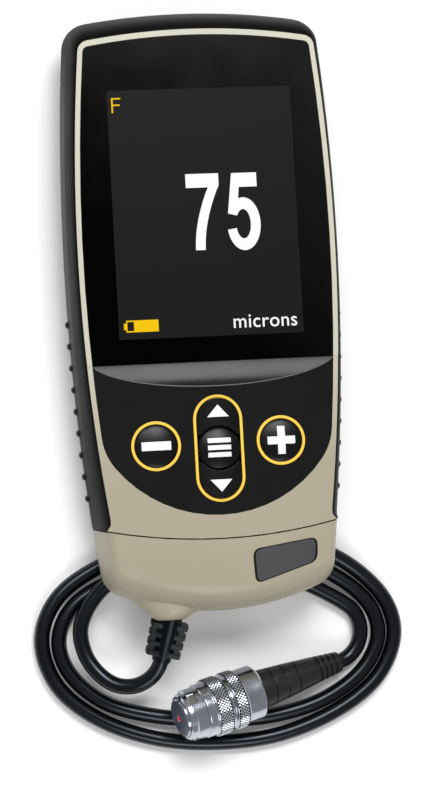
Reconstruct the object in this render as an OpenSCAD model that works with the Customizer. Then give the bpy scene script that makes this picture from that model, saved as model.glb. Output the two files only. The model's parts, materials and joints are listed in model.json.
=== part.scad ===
// Hand-held coating thickness gauge with a separate probe on a short cable.
// It lies on its back: X to the right of the display, Y towards the display end, Z out of the face.

/* [Housing] */
// Length from the crown of the armour to the end of the cable bulge
overall_len = 145.6; // [140:0.2:152]
// Greatest width of the armour, grip nubs apart
body_w = 66; // [64:0.5:70]
// Place of the greatest width above the middle of the length
widest_y = 15; // [10:1:20]
// Radius of the bowed sides
side_r = 600; // [500:10:900]
// Radius of the crowned display end
crown_r = 165; // [140:5:220]
// Radius of the corners at the display end
crown_corner_r = 6.5; // [6.2:0.1:8]
// Height of the display window's face above the main board
stack_h = 8.55; // [8:0.05:10]
// Height of the keypad's crown above the display window
crown_rise = 1.5; // [1.2:0.1:2]
// Radius of the crowned lower front
front_r = 280; // [240:10:400]

/* [Bezel] */
// Width of the armour beside the bezel at the display end
armour_top_w = 6; // [5:0.1:7]
// Width of the armour beside the bezel at the widest place
armour_side_w = 2.2; // [2:0.1:2.8]
// Radius of the bezel's bowed sides
bezel_side_r = 460; // [420:10:600]
// Radius of the bezel's upper corners
bezel_corner_r = 2.8; // [2.6:0.1:3.4]
// Radius of the flare where the bezel widens at the seam
flare_r = 3.6; // [3.2:0.1:5]
// Length of that flare
flare_len = 2.8; // [2.4:0.1:3]
// Width of the light rim beside the window
trim_w = 1.25; // [1.1:0.05:1.5]
// Width of the light rim above the window
trim_top_w = 1.45; // [1.2:0.05:1.8]
// Height of that rim above the window
trim_rise = 0.15; // [0.05:0.05:0.3]
// Wall of the bezel
bezel_wall = 2; // [1.6:0.1:2.2]
// Width of the lip that carries window and keypad
lip_w = 1.5; // [1.2:0.1:1.8]

/* [Armour] */
// Number of grip nubs on each side
nub_count = 9; // [7:1:10]
// Distance between grip nubs
nub_pitch = 5.2; // [4.6:0.1:5.4]
// Distance from the seam to the lowest nub
nub_foot = 11.3; // [9:0.1:13]
// Width of a nub
nub_w = 1.8; // [1.6:0.1:2.4]
// Height of a nub above the side
nub_h = 0.8; // [0.5:0.1:1]

/* [Display] */
// Thickness of the window
window_t = 1.3; // [1:0.1:1.5]
// Gap between the display module and the lip beside it
lcd_side_gap = 2.2; // [0.5:0.1:4]
// Gap between the display module and the window's upper end
lcd_top_gap = 10; // [8:0.1:14]
// Thickness of the display module
lcd_t = 2.6; // [2.2:0.1:2.8]
// Gap between the display module and the sill
lcd_drop = 2.8; // [2.2:0.1:4]
// Wall of the frame under the display module
lcd_frame_wall = 3; // [2:0.5:5]

/* [Keypad] */
// Width of the bezel between the keypad panel and the seam
lower_strip = 5.75; // [4.5:0.05:8]
// Distance from the oblong's ring to the panel's lower end
keypad_foot = 3; // [2:0.1:5]
// Radius of the panel's lower end past half its width
keypad_end_extra = 1.45; // [1:0.05:6]
// Radius of the panel's lower corners
keypad_corner_r = 14; // [10:0.5:16]
// Thickness of the panel below the window plane
keypad_t = 1.8; // [1.5:0.1:2]
// Length of the hollow sill under the window at its middle
sill_len = 5.9; // [5:0.1:6.5]
// Radius of the hollow sill
sill_r = 22; // [16:1:40]
// Distance between the minus and plus keys
key_pitch = 29.7; // [29:0.1:31]
// Distance from the sill down to the minus and plus keys
key_drop = 19.4; // [19:0.1:20]
// Distance from those keys down to the middle of the oblong
oblong_drop = 1.2; // [0.6:0.1:1.6]
// Diameter of the key holes
key_hole_d = 10.3; // [9.8:0.1:10.6]
// Length of the oblong hole
oblong_len = 23.8; // [23:0.1:24.2]
// Length of the middle key's sides between the horns of the arrow keys
menu_len = 6.4; // [6:0.1:7]
// Width of the yellow rings
ring_w = 0.7; // [0.5:0.1:1]
// Depth of the grooves for the rings
ring_deep = 0.45; // [0.3:0.05:0.6]
// Height of the rings above the panel
ring_proud = 0.12; // [0.05:0.01:0.2]
// Radius of the domed key tops
key_dome_r = 19; // [17:1:30]
// Radius of the rounder top of the middle key
menu_dome_r = 14; // [13:1:20]
// Height of the dome's top above the panel
key_proud = 0.75; // [0.5:0.05:1]
// Width of the flange that keeps a key in
key_flange_w = 0.6; // [0.4:0.1:0.8]
// Thickness of that flange
key_flange_t = 0.8; // [0.6:0.1:1]
// Travel of a key
key_travel = 0.8; // [0.5:0.1:1]
// Thickness of the keymat's web
keymat_web = 1.2; // [0.8:0.1:1.5]

/* [Back] */
// Height of the lower back above the surface, where the cable passes
grip_z = 9.2; // [8.8:0.1:9.4]
// Thickness of the back cover's plate
plate_t = 1.4; // [1.2:0.1:1.8]
// Wall of the back cover
back_wall = 1.8; // [1.4:0.1:2.2]
// Distance from the battery door to the hump's foot at the surface
foot_gap = 2.6; // [2:0.1:6]
// Length of the slope from the hump's foot to the lower back
hump_slope = 17; // [12:0.5:20]

/* [Battery bay] */
// Diameter of a cell
cell_d = 10.5; // [10.2:0.1:10.5]
// Length of a cell with its button
cell_len = 44.5; // [43.5:0.1:44.5]
// Room for the contact at each end of a cell
contact_room = 2.4; // [2:0.1:3]
// Distance from the crown of the armour to the battery door
door_gap = 14.2; // [12:0.1:18]
// Wall of the bay
bay_wall = 1.2; // [1:0.1:1.4]
// Thickness of the battery door
door_t = 1.4; // [1:0.1:1.6]
// Width of the door's seat beside the bay
door_seat = 2.4; // [2:0.1:3]
// Length of the door's screw ends past the bay
door_end = 8; // [7.5:0.1:8.5]

/* [Electronics] */
// Thickness of the main board
board_t = 1.6; // [1.2:0.1:1.6]
// Gap between the main board and the bezel's wall
board_gap = 2.2; // [1:0.1:4]
// Diameter of the beeper
beeper_d = 11; // [9:0.5:13]
// Height of the beeper
beeper_h = 2.4; // [1.8:0.1:2.6]
// Width of the probe socket
socket_w = 15; // [14:0.5:17]
// Height of the probe socket
socket_h = 5; // [4.6:0.1:5]
// Width of the plug's tongue
tongue_w = 11.6; // [10:0.1:12]
// Thickness of the plug's tongue
tongue_t = 3; // [2.4:0.1:3.2]

/* [Probe cap] */
// Length of the cap at its middle
cap_len = 17; // [15:0.2:18]
// Radius of the seam between bezel and cap
seam_r = 125; // [110:5:150]
// Width of the seam
seam_gap = 0.3; // [0.2:0.05:0.4]
// Radius of the cap's end
cap_end_r = 62; // [58:1:70]
// Radius of the cap's corners
cap_corner_r = 6.5; // [6.2:0.1:8]
// Length of the cable bulge past the cap's end
bulge_out = 1.4; // [1.2:0.1:2]
// Half width of the cable bulge where it leaves the cap
bulge_w = 8.6; // [8:0.2:9]
// Distance of the cable from the middle of the cap
cable_x = 12.4; // [11:0.2:14]

/* [Cable] */
// Diameter of the cable
cable_d = 3.8; // [3.4:0.1:3.8]
// Length of the finned cable boot
boot_len = 10.4; // [9.8:0.1:11]
// Diameter of the boot's core at the cap
boot_core_d = 5.6; // [5:0.1:6]
// Span of the boot's fins at the cap
fin_span = 9.2; // [8.6:0.1:10]
// Span of the fins at the cable
fin_span_end = 8.6; // [7.4:0.1:9]
// Thickness of a fin
fin_t = 1.1; // [0.9:0.1:1.3]
// Number of fins
fin_count = 4; // [3:1:4]
// Lean of the boot to the side
boot_lean = 14; // [10:1:18]
// Droop of the boot towards the surface
boot_droop = 18; // [12:1:22]

/* [Probe] */
// Length of the metal head
head_len = 21.2; // [20.4:0.1:22.4]
// Length of the rubber probe boot
probe_boot_len = 22.8; // [22:0.1:23.6]
// Wall of the knurled barrel
barrel_wall = 1.6; // [1.4:0.05:1.7]
// Wall of the nose
nose_wall = 1.45; // [1.2:0.05:1.5]
// Length of the nose
nose_len = 4.4; // [4:0.1:4.8]
// Diameter of the plunger
plunger_d = 9.6; // [9.2:0.1:9.8]
// Length of the plunger's face in front of the nose
plunger_out = 0.8; // [0.6:0.1:1]
// Travel of the plunger
plunger_travel = 2; // [1:0.1:2.2]
// Diameter of the probe boot at the barrel
probe_boot_d = 9.6; // [9.2:0.1:10]
// Diameter of the probe boot at the cable
probe_boot_end_d = 5; // [4.8:0.1:5.4]
// Diameter of the ruby tip
ruby_d = 1.6; // [1.2:0.1:2]

/* [Fits] */
// Gap between pieces that are fixed to each other
fit = 0.05; // [0.03:0.01:0.1]
// Gap round a moving key
key_gap = 0.15; // [0.1:0.01:0.2]
// Gap round the plug's tongue
plug_gap = 0.3; // [0.2:0.05:0.4]
// Gap round the plunger
plunger_gap = 0.1; // [0.08:0.01:0.15]
// Gap between a screw and its hole
screw_gap = 0.15; // [0.1:0.05:0.2]

/* [Hidden] */
$fn = 48;

// Places along the length
crown_y = overall_len / 2;
bulge_end_y = -overall_len / 2;
cap_end_y = bulge_end_y + bulge_out;
seam_y = cap_end_y + cap_len;
bezel_top_y = crown_y - armour_top_w;
bezel_w = body_w - 2 * armour_side_w;
bezel_crown_r = crown_r - armour_top_w;
window_top_y = bezel_top_y - trim_top_w;
keypad_len = key_drop + oblong_drop + oblong_len / 2 + ring_w + keypad_foot;
keypad_end_y = seam_y + lower_strip;
ledge_y = keypad_end_y + keypad_len;
key_y = ledge_y - key_drop;
oblong_y = key_y - oblong_drop;
lcd_bottom_y = ledge_y + lcd_drop;
lcd_top_y = window_top_y - lcd_top_gap;
lcd_len = lcd_top_y - lcd_bottom_y;
lcd_y = (lcd_top_y + lcd_bottom_y) / 2;

// Heights
cell_z = back_wall + 0.2 + cell_d / 2;
trough_r = cell_d / 2 + 0.15;
bay_top_z = cell_z + trough_r + bay_wall;
board_top_z = bay_top_z + board_t;
window_z = board_top_z + stack_h;
parting_z = grip_z + plate_t;
trim_z = window_z + trim_rise;
crown_z = window_z + crown_rise;
armour_top_z = window_z - 0.2;
window_bottom_z = window_z - window_t;
lip_bottom_z = window_bottom_z - 2;
keypad_bottom_z = window_z - keypad_t;
lcd_bottom_z = window_bottom_z - 0.2 - lcd_t;
key_flange_z = keypad_bottom_z - 0.1 - key_flange_t;
key_bottom_z = key_flange_z - 1.9;
keymat_top_z = key_bottom_z - key_travel - 0.1;
seat_z = door_t + 0.6;
plug_z = board_top_z + socket_h / 2;

// Battery bay
cell_pitch = 2 * trough_r + 0.3;
bay_w = 3 * cell_pitch;
bay_len = cell_len + 2 * contact_room;
door_w = bay_w + 2 * door_seat;
door_len = bay_len + 2 * door_end;
bay_y = crown_y - door_gap - door_len / 2;
hump_foot_y = bay_y - door_len / 2 - foot_gap;
hump_edge = crown_corner_r - 0.5;
door_screw_y = bay_len / 2 + bay_wall + 3;
door_corner_r = 3;

// Screws
screw_d = 2.4;
screw_head_d = 4.4;
screw_head_t = 1.5;
boss_d = 6.4;
boss_split_z = parting_z + 2.4;
case_screw_top_z = boss_split_z + 5;
upper_screw = [bezel_w / 2 - 8.3, lcd_top_y + boss_d / 2 + 1.05];
lower_screw = [bezel_w / 2 - 10.2, seam_y + 9];

// Points along arcs
side_steps = 10;
corner_steps = 6;
crown_steps = 8;

function arc(c, r, a0, a1, n) = [for (i = [0:n]) c + r * [cos(a0 + (a1 - a0) * i / n), sin(a0 + (a1 - a0) * i / n)]];
function rest(list) = [for (i = [1:len(list) - 1]) list[i]];
function inner(list) = [for (i = [1:len(list) - 2]) list[i]];
function mirrored(pts) = [for (i = [len(pts) - 1:-1:0]) [-pts[i][0], pts[i][1]]];
function angle_of(v) = atan2(v[1], v[0]);
function mix(a, b, u) = a + (b - a) * u;
function at_height(pts, z) = [for (p = pts) [p[0], p[1], z]];

// Where two circles meet, on the side that sign gives
function meet(c1, r1, c2, r2, sign) =
    let (d = norm(c2 - c1), u = (c2 - c1) / d, a = (r1 * r1 - r2 * r2 + d * d) / (2 * d), h = sqrt(r1 * r1 - a * a))
    c1 + a * u + sign * h * [-u[1], u[0]];

// Right half of an outline of five arcs: end, corner, side, corner, crown
// shape: [half width, side radius, crown y, crown radius, crown corner, end y, end radius, end corner]
function half_outline(shape, t) =
    let (
        side_c = [shape[0] - shape[1], widest_y],
        crown_c = [0, shape[2] - shape[3]],
        end_c = [0, shape[5] + shape[6]],
        upper = meet(side_c, shape[1] - shape[4], crown_c, shape[3] - shape[4], 1),
        lower = meet(side_c, shape[1] - shape[7], end_c, shape[6] - shape[7], -1),
        a_end = angle_of(lower - end_c),
        a_low = angle_of(lower - side_c),
        a_up = angle_of(upper - side_c),
        a_crown = angle_of(upper - crown_c)
    )
    concat(
        arc(end_c, shape[6] - t, -90, a_end, crown_steps),
        rest(arc(lower, shape[7] - t, a_end, a_low, corner_steps)),
        rest(arc(side_c, shape[1] - t, a_low, a_up, side_steps)),
        rest(arc(upper, shape[4] - t, a_up, a_crown, corner_steps)),
        rest(arc(crown_c, shape[3] - t, a_crown, 90, crown_steps))
    );
function outline(shape, t = 0) = let (half = half_outline(shape, t)) concat(half, inner(mirrored(half)));
function smaller(shape, t, crown_corner, end_corner) = [
    shape[0] - t, shape[1] - t, shape[2] - t, shape[3] - t, crown_corner, shape[5] + t, shape[6] - t, end_corner
];

bezel_shape = [bezel_w / 2, bezel_side_r, bezel_top_y, bezel_crown_r, bezel_corner_r, seam_y, seam_r, 1];
window_shape = [
    bezel_w / 2 - trim_w, bezel_side_r - trim_w, window_top_y, bezel_crown_r - trim_top_w,
    bezel_corner_r - trim_w, seam_y + trim_w, seam_r - trim_w, 1
];
keypad_shape = [
    bezel_w / 2 - trim_w, bezel_side_r - trim_w, window_top_y, bezel_crown_r, bezel_corner_r - trim_w,
    keypad_end_y, bezel_w / 2 - trim_w + keypad_end_extra, keypad_corner_r
];

// Sides and seam
function bowed_x(half_w, r, y) = half_w - r + sqrt(r * r - (y - widest_y) * (y - widest_y));
function housing_x(y) = bowed_x(body_w / 2, side_r, y);
function seam_at(x) = seam_y + seam_r - sqrt(seam_r * seam_r - x * x);
tip_y = seam_at(bezel_w / 2 - 3);
flare_y = tip_y + flare_len;
function flare(y) = let (d = min(flare_len + 1, max(0, flare_y - y))) flare_r - sqrt(max(0, flare_r * flare_r - d * d));
function bezel_x(y) = bowed_x(bezel_w / 2, bezel_side_r, y) + flare(y);
function crown_at(x) = crown_z - front_r + sqrt(front_r * front_r - x * x);

// Samples along the side, close together at the nubs
nub_ys = [for (k = [0:nub_count - 1]) seam_y + nub_foot + nub_pitch * k];
low_ys = concat(
    [for (f = [0.25, 0.5, 0.75, 1]) mix(seam_at(body_w / 2 - 3) + 0.2, flare_y + 0.3, f)],
    [for (y = nub_ys, f = [-1, -0.85, -0.4, 0.4, 0.85, 1]) y + f * nub_w / 2]
);
function nub(y) = nub_h * max([for (n = nub_ys) let (d = abs(y - n) / (nub_w / 2)) d < 1 ? sqrt(1 - d * d) : 0]);

// Side, corner and crown above the nubs
function upper_path(half_w, r, top_y, top_r, corner, y0) =
    let (
        side_c = [half_w - r, widest_y],
        crown_c = [0, top_y - top_r],
        c = meet(side_c, r - corner, crown_c, top_r - corner, 1),
        a_up = angle_of(c - side_c),
        a_crown = angle_of(c - crown_c),
        y1 = c[1] + corner * sin(a_up)
    )
    concat(
        [for (i = [1:side_steps]) let (y = mix(y0, y1, i / side_steps)) [bowed_x(half_w, r, y), y]],
        rest(arc(c, corner, a_up, a_crown, corner_steps)),
        rest(arc(crown_c, top_r, a_crown, 90, crown_steps))
    );
nub_end_y = max(low_ys);
housing_upper = upper_path(body_w / 2, side_r, crown_y, crown_r, crown_corner_r, nub_end_y);
bezel_upper = upper_path(bezel_w / 2, bezel_side_r, bezel_top_y, bezel_crown_r, bezel_corner_r, nub_end_y);

// One course of the armour: u runs from the outside (0) to the bezel (1)
function course(u, gain) =
    let (
        tip_x = mix(housing_x(tip_y), bezel_x(tip_y), u),
        low = [for (y = low_ys) [mix(housing_x(y) + gain * nub(y), bezel_x(y), u), y]],
        up = [for (i = [0:len(housing_upper) - 1]) mix(housing_upper[i], bezel_upper[i], u)],
        half = concat([[tip_x, seam_at(tip_x) + seam_gap]], low, up)
    )
    concat(half, rest(mirrored(half)));

// Right half of the cap's outline, from the middle of its end to the seam, its end inset by e and its side by t
cap_end_c = [0, cap_end_y + cap_end_r];
cap_side_c = [body_w / 2 - side_r, widest_y];
cap_corner_c = meet(cap_side_c, side_r - cap_corner_r, cap_end_c, cap_end_r - cap_corner_r, -1);
function cap_half(t, e) =
    let (
        a_end = angle_of(cap_corner_c - cap_end_c),
        a_low = angle_of(cap_corner_c - cap_side_c),
        y0 = cap_corner_c[1] + cap_corner_r * sin(a_low),
        x1 = housing_x(tip_y) - t
    )
    concat(
        arc(cap_end_c, cap_end_r - e, -90, a_end, crown_steps),
        [for (i = [1:corner_steps]) let (u = i / corner_steps, a = mix(a_end, a_low, u), r = cap_corner_r - mix(e, t, u))
            cap_corner_c + r * [cos(a), sin(a)]],
        [for (f = [0.4, 0.8]) let (y = mix(y0, seam_at(x1), f)) [housing_x(y) - t, y]],
        [[x1, seam_at(x1)]]
    );
function seam_points(x1, n) = [for (i = [1:n - 1]) let (x = x1 * (1 - 2 * i / n)) [x, seam_at(x)]];
function cap_outline(t, e) =
    let (half = cap_half(t, e), x1 = half[len(half) - 1][0])
    concat(half, seam_points(x1, 12), mirrored(rest(half)));

// Outline of the back cover's plate, bounded by the seam
function plate_outline(t) =
    let (
        x1 = housing_x(tip_y) - t,
        shape = smaller([body_w / 2, side_r, crown_y, crown_r, crown_corner_r, 0, seam_r, 1], t, crown_corner_r - t, 1),
        up = upper_path(shape[0], shape[1], shape[2], shape[3], shape[4], tip_y + 4),
        half = concat([[x1, seam_at(x1) + seam_gap]], up)
    )
    concat(half, rest(mirrored(half)), [for (p = mirrored(seam_points(x1, 12))) [-p[0], p[1] + seam_gap]]);

// Solid between courses of equal length, each a closed ring
module loft(rings) {
    n = len(rings[0]);
    m = len(rings);
    polyhedron(
        points = [for (r = rings, p = r) p],
        faces = concat(
            [[for (i = [0:n - 1]) i]],
            [for (k = [0:m - 2], i = [0:n - 1]) let (j = (i + 1) % n) each [
                [k * n + i, (k + 1) * n + j, k * n + j],
                [k * n + i, (k + 1) * n + i, (k + 1) * n + j]
            ]],
            [[for (i = [n - 1:-1:0]) (m - 1) * n + i]]
        ),
        convexity = 6
    );
}

// Solid between open courses whose last course returns to the first, closed at both ends
module band(courses) {
    n = len(courses[0]);
    m = len(courses);
    polyhedron(
        points = [for (r = courses, p = r) p],
        faces = concat(
            [for (k = [0:m - 1], i = [0:n - 2]) let (l = (k + 1) % m) each [
                [k * n + i, l * n + i + 1, k * n + i + 1],
                [k * n + i, l * n + i, l * n + i + 1]
            ]],
            [for (k = [1:m - 2]) each [
                [0, (k + 1) * n, k * n],
                [n - 1, k * n + n - 1, (k + 1) * n + n - 1]
            ]]
        ),
        convexity = 6
    );
}

// Everything below the crowned lower front, lowered by drop
module crowned(drop = 0) {
    translate([0, 0, crown_z - front_r - drop])
        rotate([90, 0, 0])
        cylinder(r = front_r, h = 3 * overall_len, center = true, $fn = 360);
}

module half_plane(y, sign) {
    translate([-body_w, sign > 0 ? y : y - 2 * overall_len]) square([2 * body_w, 2 * overall_len]);
}

module from_to(z0, z1) {
    translate([0, 0, z0]) linear_extrude(z1 - z0) children();
}

module both_sides() {
    children();
    mirror([1, 0, 0]) children();
}

module box(w, l, z0, z1, y = 0) {
    translate([-w / 2, y - l / 2, z0]) cube([w, l, z1 - z0]);
}

module rounded_rect(w, l, r) {
    square([w - 2 * r, l], center = true);
    square([w, l - 2 * r], center = true);
    for (x = [-1, 1], y = [-1, 1]) translate([x * (w / 2 - r), y * (l / 2 - r)]) circle(r);
}

// Key outlines, grown by g
module round_key(g) {
    circle(d = key_hole_d + 2 * g);
}

module oblong(g) {
    w = key_hole_d + 2 * g;
    straight = oblong_len - key_hole_d;
    square([w, straight], center = true);
    for (y = [-1, 1]) translate([0, y * straight / 2]) circle(d = w);
}

module key_holes(g) {
    for (x = [-1, 1]) translate([x * key_pitch / 2, key_y]) round_key(g);
    translate([0, oblong_y]) oblong(g);
}

// Front of the housing

module window_cut(t) {
    intersection() {
        polygon(outline(smaller(window_shape, t, bezel_corner_r - trim_w, 1)));
        half_plane(ledge_y + t, 1);
    }
}

module keypad_cut(t) {
    intersection() {
        polygon(outline(smaller(keypad_shape, t, bezel_corner_r - trim_w, keypad_corner_r - t)));
        half_plane(ledge_y - t, -1);
    }
}

bezel_half = concat(
    [for (f = [0, 0.2, 0.4, 0.6, 0.8, 1]) let (x = f * (bezel_x(tip_y) - fit)) [x, seam_at(x) + seam_gap]],
    [for (y = low_ys) [bezel_x(y) - fit, y]],
    upper_path(bezel_w / 2 - fit, bezel_side_r - fit, bezel_top_y - fit, bezel_crown_r - fit, bezel_corner_r - fit, nub_end_y)
);

module front_bezel() {
    color("#b5ad94")
    difference() {
        union() {
            difference() {
                intersection() {
                    from_to(parting_z, crown_z + 1) polygon(concat(bezel_half, inner(mirrored(bezel_half))));
                    union() {
                        from_to(0, trim_z) half_plane(ledge_y, 1);
                        intersection() {
                            crowned();
                            from_to(0, crown_z + 1) half_plane(ledge_y, -1);
                        }
                    }
                }
                from_to(parting_z - 1, lip_bottom_z) polygon(outline(smaller(bezel_shape, bezel_wall, bezel_corner_r - bezel_wall, 1)));
            }
            both_sides() for (s = [upper_screw, lower_screw])
                translate([s[0], s[1], boss_split_z]) cylinder(d = boss_d, h = lip_bottom_z + 1 - boss_split_z);
        }
        from_to(window_bottom_z, crown_z + 2) window_cut(-fit);
        from_to(parting_z, crown_z + 2) window_cut(lip_w);
        from_to(keypad_bottom_z, crown_z + 2) keypad_cut(-fit);
        from_to(lip_bottom_z - 1, crown_z + 2) keypad_cut(lip_w);
        box(socket_w + 1, 2 * socket_len + 3, board_top_z - board_t, board_top_z + socket_h + 0.5, seam_y);
        both_sides() for (s = [upper_screw, lower_screw])
            translate([s[0], s[1], boss_split_z - 1]) cylinder(d = screw_d, h = case_screw_top_z + 1.5 - boss_split_z);
    }
}

module rubber_armour() {
    low = parting_z + fit;
    high = armour_top_z;
    rise = high - low;
    // Share of the width from the outside, share of the height, share of the nubs' height
    profile = [
        [1, 0, 0], [0.08, 0, 0], [0, 0.03, 0], [0, 0.045, 0.6], [0, 0.085, 1], [0.01, 0.125, 1], [0.02, 0.165, 0.6],
        [0.03, 0.18, 0], [0.13, 0.36, 0], [0.27, 0.55, 0], [0.4, 0.7, 0], [0.5, 0.79, 0], [0.61, 0.87, 0],
        [0.75, 0.94, 0], [0.88, 0.985, 0], [1, 1, 0]
    ];
    color("#3a3a3c") band([for (p = profile) at_height(course(p[0], p[2]), low + rise * p[1])]);
}

module display_window() {
    color("#101012") from_to(window_bottom_z, window_z) window_cut(fit);
}

module sill() {
    c = meet([ledge_y, window_z], sill_r, [ledge_y - sill_len, crown_z], sill_r, -1);
    translate([0, c[0], c[1]]) rotate([0, 90, 0]) cylinder(r = sill_r, h = 2 * body_w, center = true, $fn = 120);
}

module keypad_panel() {
    color("#1e1e1f")
    difference() {
        intersection() {
            from_to(keypad_bottom_z, crown_z + 1) keypad_cut(fit);
            crowned();
        }
        sill();
        from_to(keypad_bottom_z - 1, crown_z + 1) key_holes(0);
        difference() {
            from_to(keypad_bottom_z + 0.3, crown_z + 2) key_holes(ring_w + fit);
            crowned(ring_deep);
        }
    }
}

module key_rings() {
    color("#f6c445")
    difference() {
        intersection() {
            from_to(keypad_bottom_z, crown_z + 1) difference() {
                key_holes(ring_w);
                key_holes(0);
            }
            crowned(-ring_proud);
        }
        crowned(ring_deep);
    }
}

// A key: its outline is drawn by the child, which is grown for the flange
module key_solid(x, y) {
    color("#1b1b1c")
    intersection() {
        union() {
            translate([x, y]) from_to(key_bottom_z, crown_z + 2) children(0);
            translate([x, y]) from_to(key_flange_z, key_flange_z + key_flange_t) children(1);
        }
        children(2);
    }
}

module dome_ball(x) {
    translate([x, key_y, crown_at(x) + key_proud - key_dome_r]) sphere(r = key_dome_r, $fn = 120);
}

module dome_bar() {
    translate([0, 0, crown_z + key_proud - key_dome_r]) rotate([90, 0, 0])
        cylinder(r = key_dome_r, h = 2 * overall_len, center = true, $fn = 120);
}

module round_key_solid(x) {
    key_solid(x, key_y) {
        round_key(-key_gap);
        round_key(key_flange_w);
        dome_ball(x);
    }
}

// The part of the oblong between two heights measured from its middle
module oblong_part(g, y0, y1) {
    intersection() {
        oblong(g);
        translate([-key_hole_d, y0]) square([2 * key_hole_d, y1 - y0]);
    }
}

// An arrow key: what the round middle key leaves of the oblong on one side
menu_r = key_hole_d / 2 - key_gap;

module arrow_part(g, sign) {
    difference() {
        oblong_part(g, sign > 0 ? menu_len / 2 : -oblong_len, sign > 0 ? oblong_len : -menu_len / 2);
        circle(r = menu_r + 2 * key_gap);
    }
}

module arrow_key_solid(sign) {
    key_solid(0, oblong_y) {
        arrow_part(-key_gap, sign);
        arrow_part(key_flange_w, sign);
        dome_bar();
    }
}

module minus_key() { round_key_solid(-key_pitch / 2); }

module plus_key() { round_key_solid(key_pitch / 2); }

module up_key() { arrow_key_solid(1); }

module menu_key() {
    key_solid(0, oblong_y) {
        circle(r = menu_r);
        oblong_part(key_flange_w, -menu_len / 2 + 2 * key_gap, menu_len / 2 - 2 * key_gap);
        translate([0, oblong_y, crown_z + key_proud - menu_dome_r]) sphere(r = menu_dome_r, $fn = 120);
    }
}

module down_key() { arrow_key_solid(-1); }

// Inside the housing

key_places = [
    [-key_pitch / 2, key_y], [key_pitch / 2, key_y], [0, oblong_y],
    [0, oblong_y + oblong_len / 4 + menu_r / 2], [0, oblong_y - oblong_len / 4 - menu_r / 2]
];
dome_d = 6;
dome_h = 0.4;
mat_rim = 1.2;
mat_w = key_pitch + key_hole_d + 2;
mat_tongue_w = key_hole_d + 5;

module keymat_area(t) {
    translate([0, key_y]) square([mat_w - 2 * t, key_hole_d + 4 - 2 * t], center = true);
    translate([0, oblong_y]) square([mat_tongue_w - 2 * t, oblong_len + 2 - 2 * t], center = true);
}

module keymat() {
    under_web_z = keymat_top_z - keymat_web;
    color("#55565a") {
        difference() {
            from_to(board_top_z, keymat_top_z) keymat_area(0);
            from_to(board_top_z - 1, under_web_z) keymat_area(mat_rim);
        }
        for (p = key_places)
            translate([p[0], p[1], board_top_z + dome_h + 0.2])
                cylinder(d = 3, h = under_web_z + 0.2 - board_top_z - dome_h);
    }
}

module snap_domes() {
    color("#c9c9c6")
    for (p = key_places) translate([p[0], p[1], board_top_z]) {
        cylinder(d = dome_d, h = dome_h / 2);
        cylinder(d1 = dome_d - 0.4, d2 = dome_d - 3, h = dome_h);
    }
}

module lcd_panel() {
    color("#232325") box(lcd_w, lcd_len, lcd_bottom_z, lcd_bottom_z + lcd_t, lcd_y);
}

module lcd_frame() {
    color("#e8e8e4")
    difference() {
        box(lcd_w, lcd_len, board_top_z, lcd_bottom_z, lcd_y);
        box(lcd_w - 2 * lcd_frame_wall, lcd_len - 2 * lcd_frame_wall, board_top_z - 1, lcd_bottom_z + 1, lcd_y);
    }
}

lcd_w = 2 * (bezel_x(lcd_top_y) - trim_w - lip_w - lcd_side_gap);
board_top_y = lcd_top_y;
board_waist_y = lower_screw[1] + boss_d / 2 + 1;
board_w = 2 * (bezel_x(board_waist_y) - bezel_wall - board_gap);
board_tail_w = 2 * (lower_screw[0] - boss_d / 2 - 0.6);
board_end_y = seam_at(board_tail_w / 2) + bezel_wall + 0.5;

module main_board() {
    color("#2f6b3f")
    from_to(bay_top_z, board_top_z) {
        translate([-board_w / 2, board_waist_y]) square([board_w, board_top_y - board_waist_y]);
        translate([-board_tail_w / 2, board_end_y]) square([board_tail_w, board_waist_y + 1 - board_end_y]);
    }
}

beeper_y = bay_y - bay_len / 2 - bay_wall - door_end - beeper_d / 2 - 4;

module beeper() {
    color("#1a1a1a")
    translate([0, beeper_y, bay_top_z - beeper_h])
    difference() {
        cylinder(d = beeper_d, h = beeper_h);
        translate([0, 0, -1]) cylinder(d = 2, h = 1.6);
    }
}

socket_front_y = seam_y + seam_gap + 0.3;
mat_end_y = oblong_y - oblong_len / 2 - 1;
socket_len = mat_end_y - 0.4 - socket_front_y;
socket_deep = socket_len - 1.4;

module probe_socket() {
    color("#26262a")
    difference() {
        box(socket_w, socket_len, board_top_z, board_top_z + socket_h, socket_front_y + socket_len / 2);
        box(tongue_w + 2 * plug_gap, 2 * socket_deep, plug_z - tongue_t / 2 - plug_gap, plug_z + tongue_t / 2 + plug_gap, socket_front_y);
    }
}

// Back cover and battery bay

hump_end_r = 200;
hump_end_corner_r = 9;

// Outline of the hump whose lower end lies at end_y once it is inset by t
function hump_shape(end_y, t) = [
    body_w / 2, side_r, crown_y, crown_r, crown_corner_r, end_y - t, hump_end_r, hump_end_corner_r
];

module hump() {
    // Share of the height, share of the edge
    steps = [[0, 1], [0.05, 0.78], [0.16, 0.56], [0.42, 0.34], [1, 0.16]];
    high = grip_z + 0.3;
    loft([for (s = steps) let (t = hump_edge * s[1], end_y = hump_foot_y - hump_slope * (1 - s[1]) / 0.84)
        at_height(outline(hump_shape(end_y, t), t), high * s[0])]);
}

module back_plate() {
    loft([
        at_height(plate_outline(1.5), grip_z),
        at_height(plate_outline(0.5), grip_z + 0.35 * plate_t),
        at_height(plate_outline(0.2), parting_z - 0.1)
    ]);
}

module at_bay() {
    translate([0, bay_y, 0]) children();
}

module screw_post(s, z0) {
    translate([s[0], s[1], z0]) cylinder(d = boss_d, h = boss_split_z - 0.1 - z0);
}

module screw_hole(s, z0, head_top_z) {
    translate([s[0], s[1], z0 - 1]) cylinder(d = screw_head_d + 2 * screw_gap, h = head_top_z - z0 + 1);
    translate([s[0], s[1], z0 - 1]) cylinder(d = screw_d + 2 * screw_gap, h = boss_split_z + 2 - z0);
}

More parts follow.
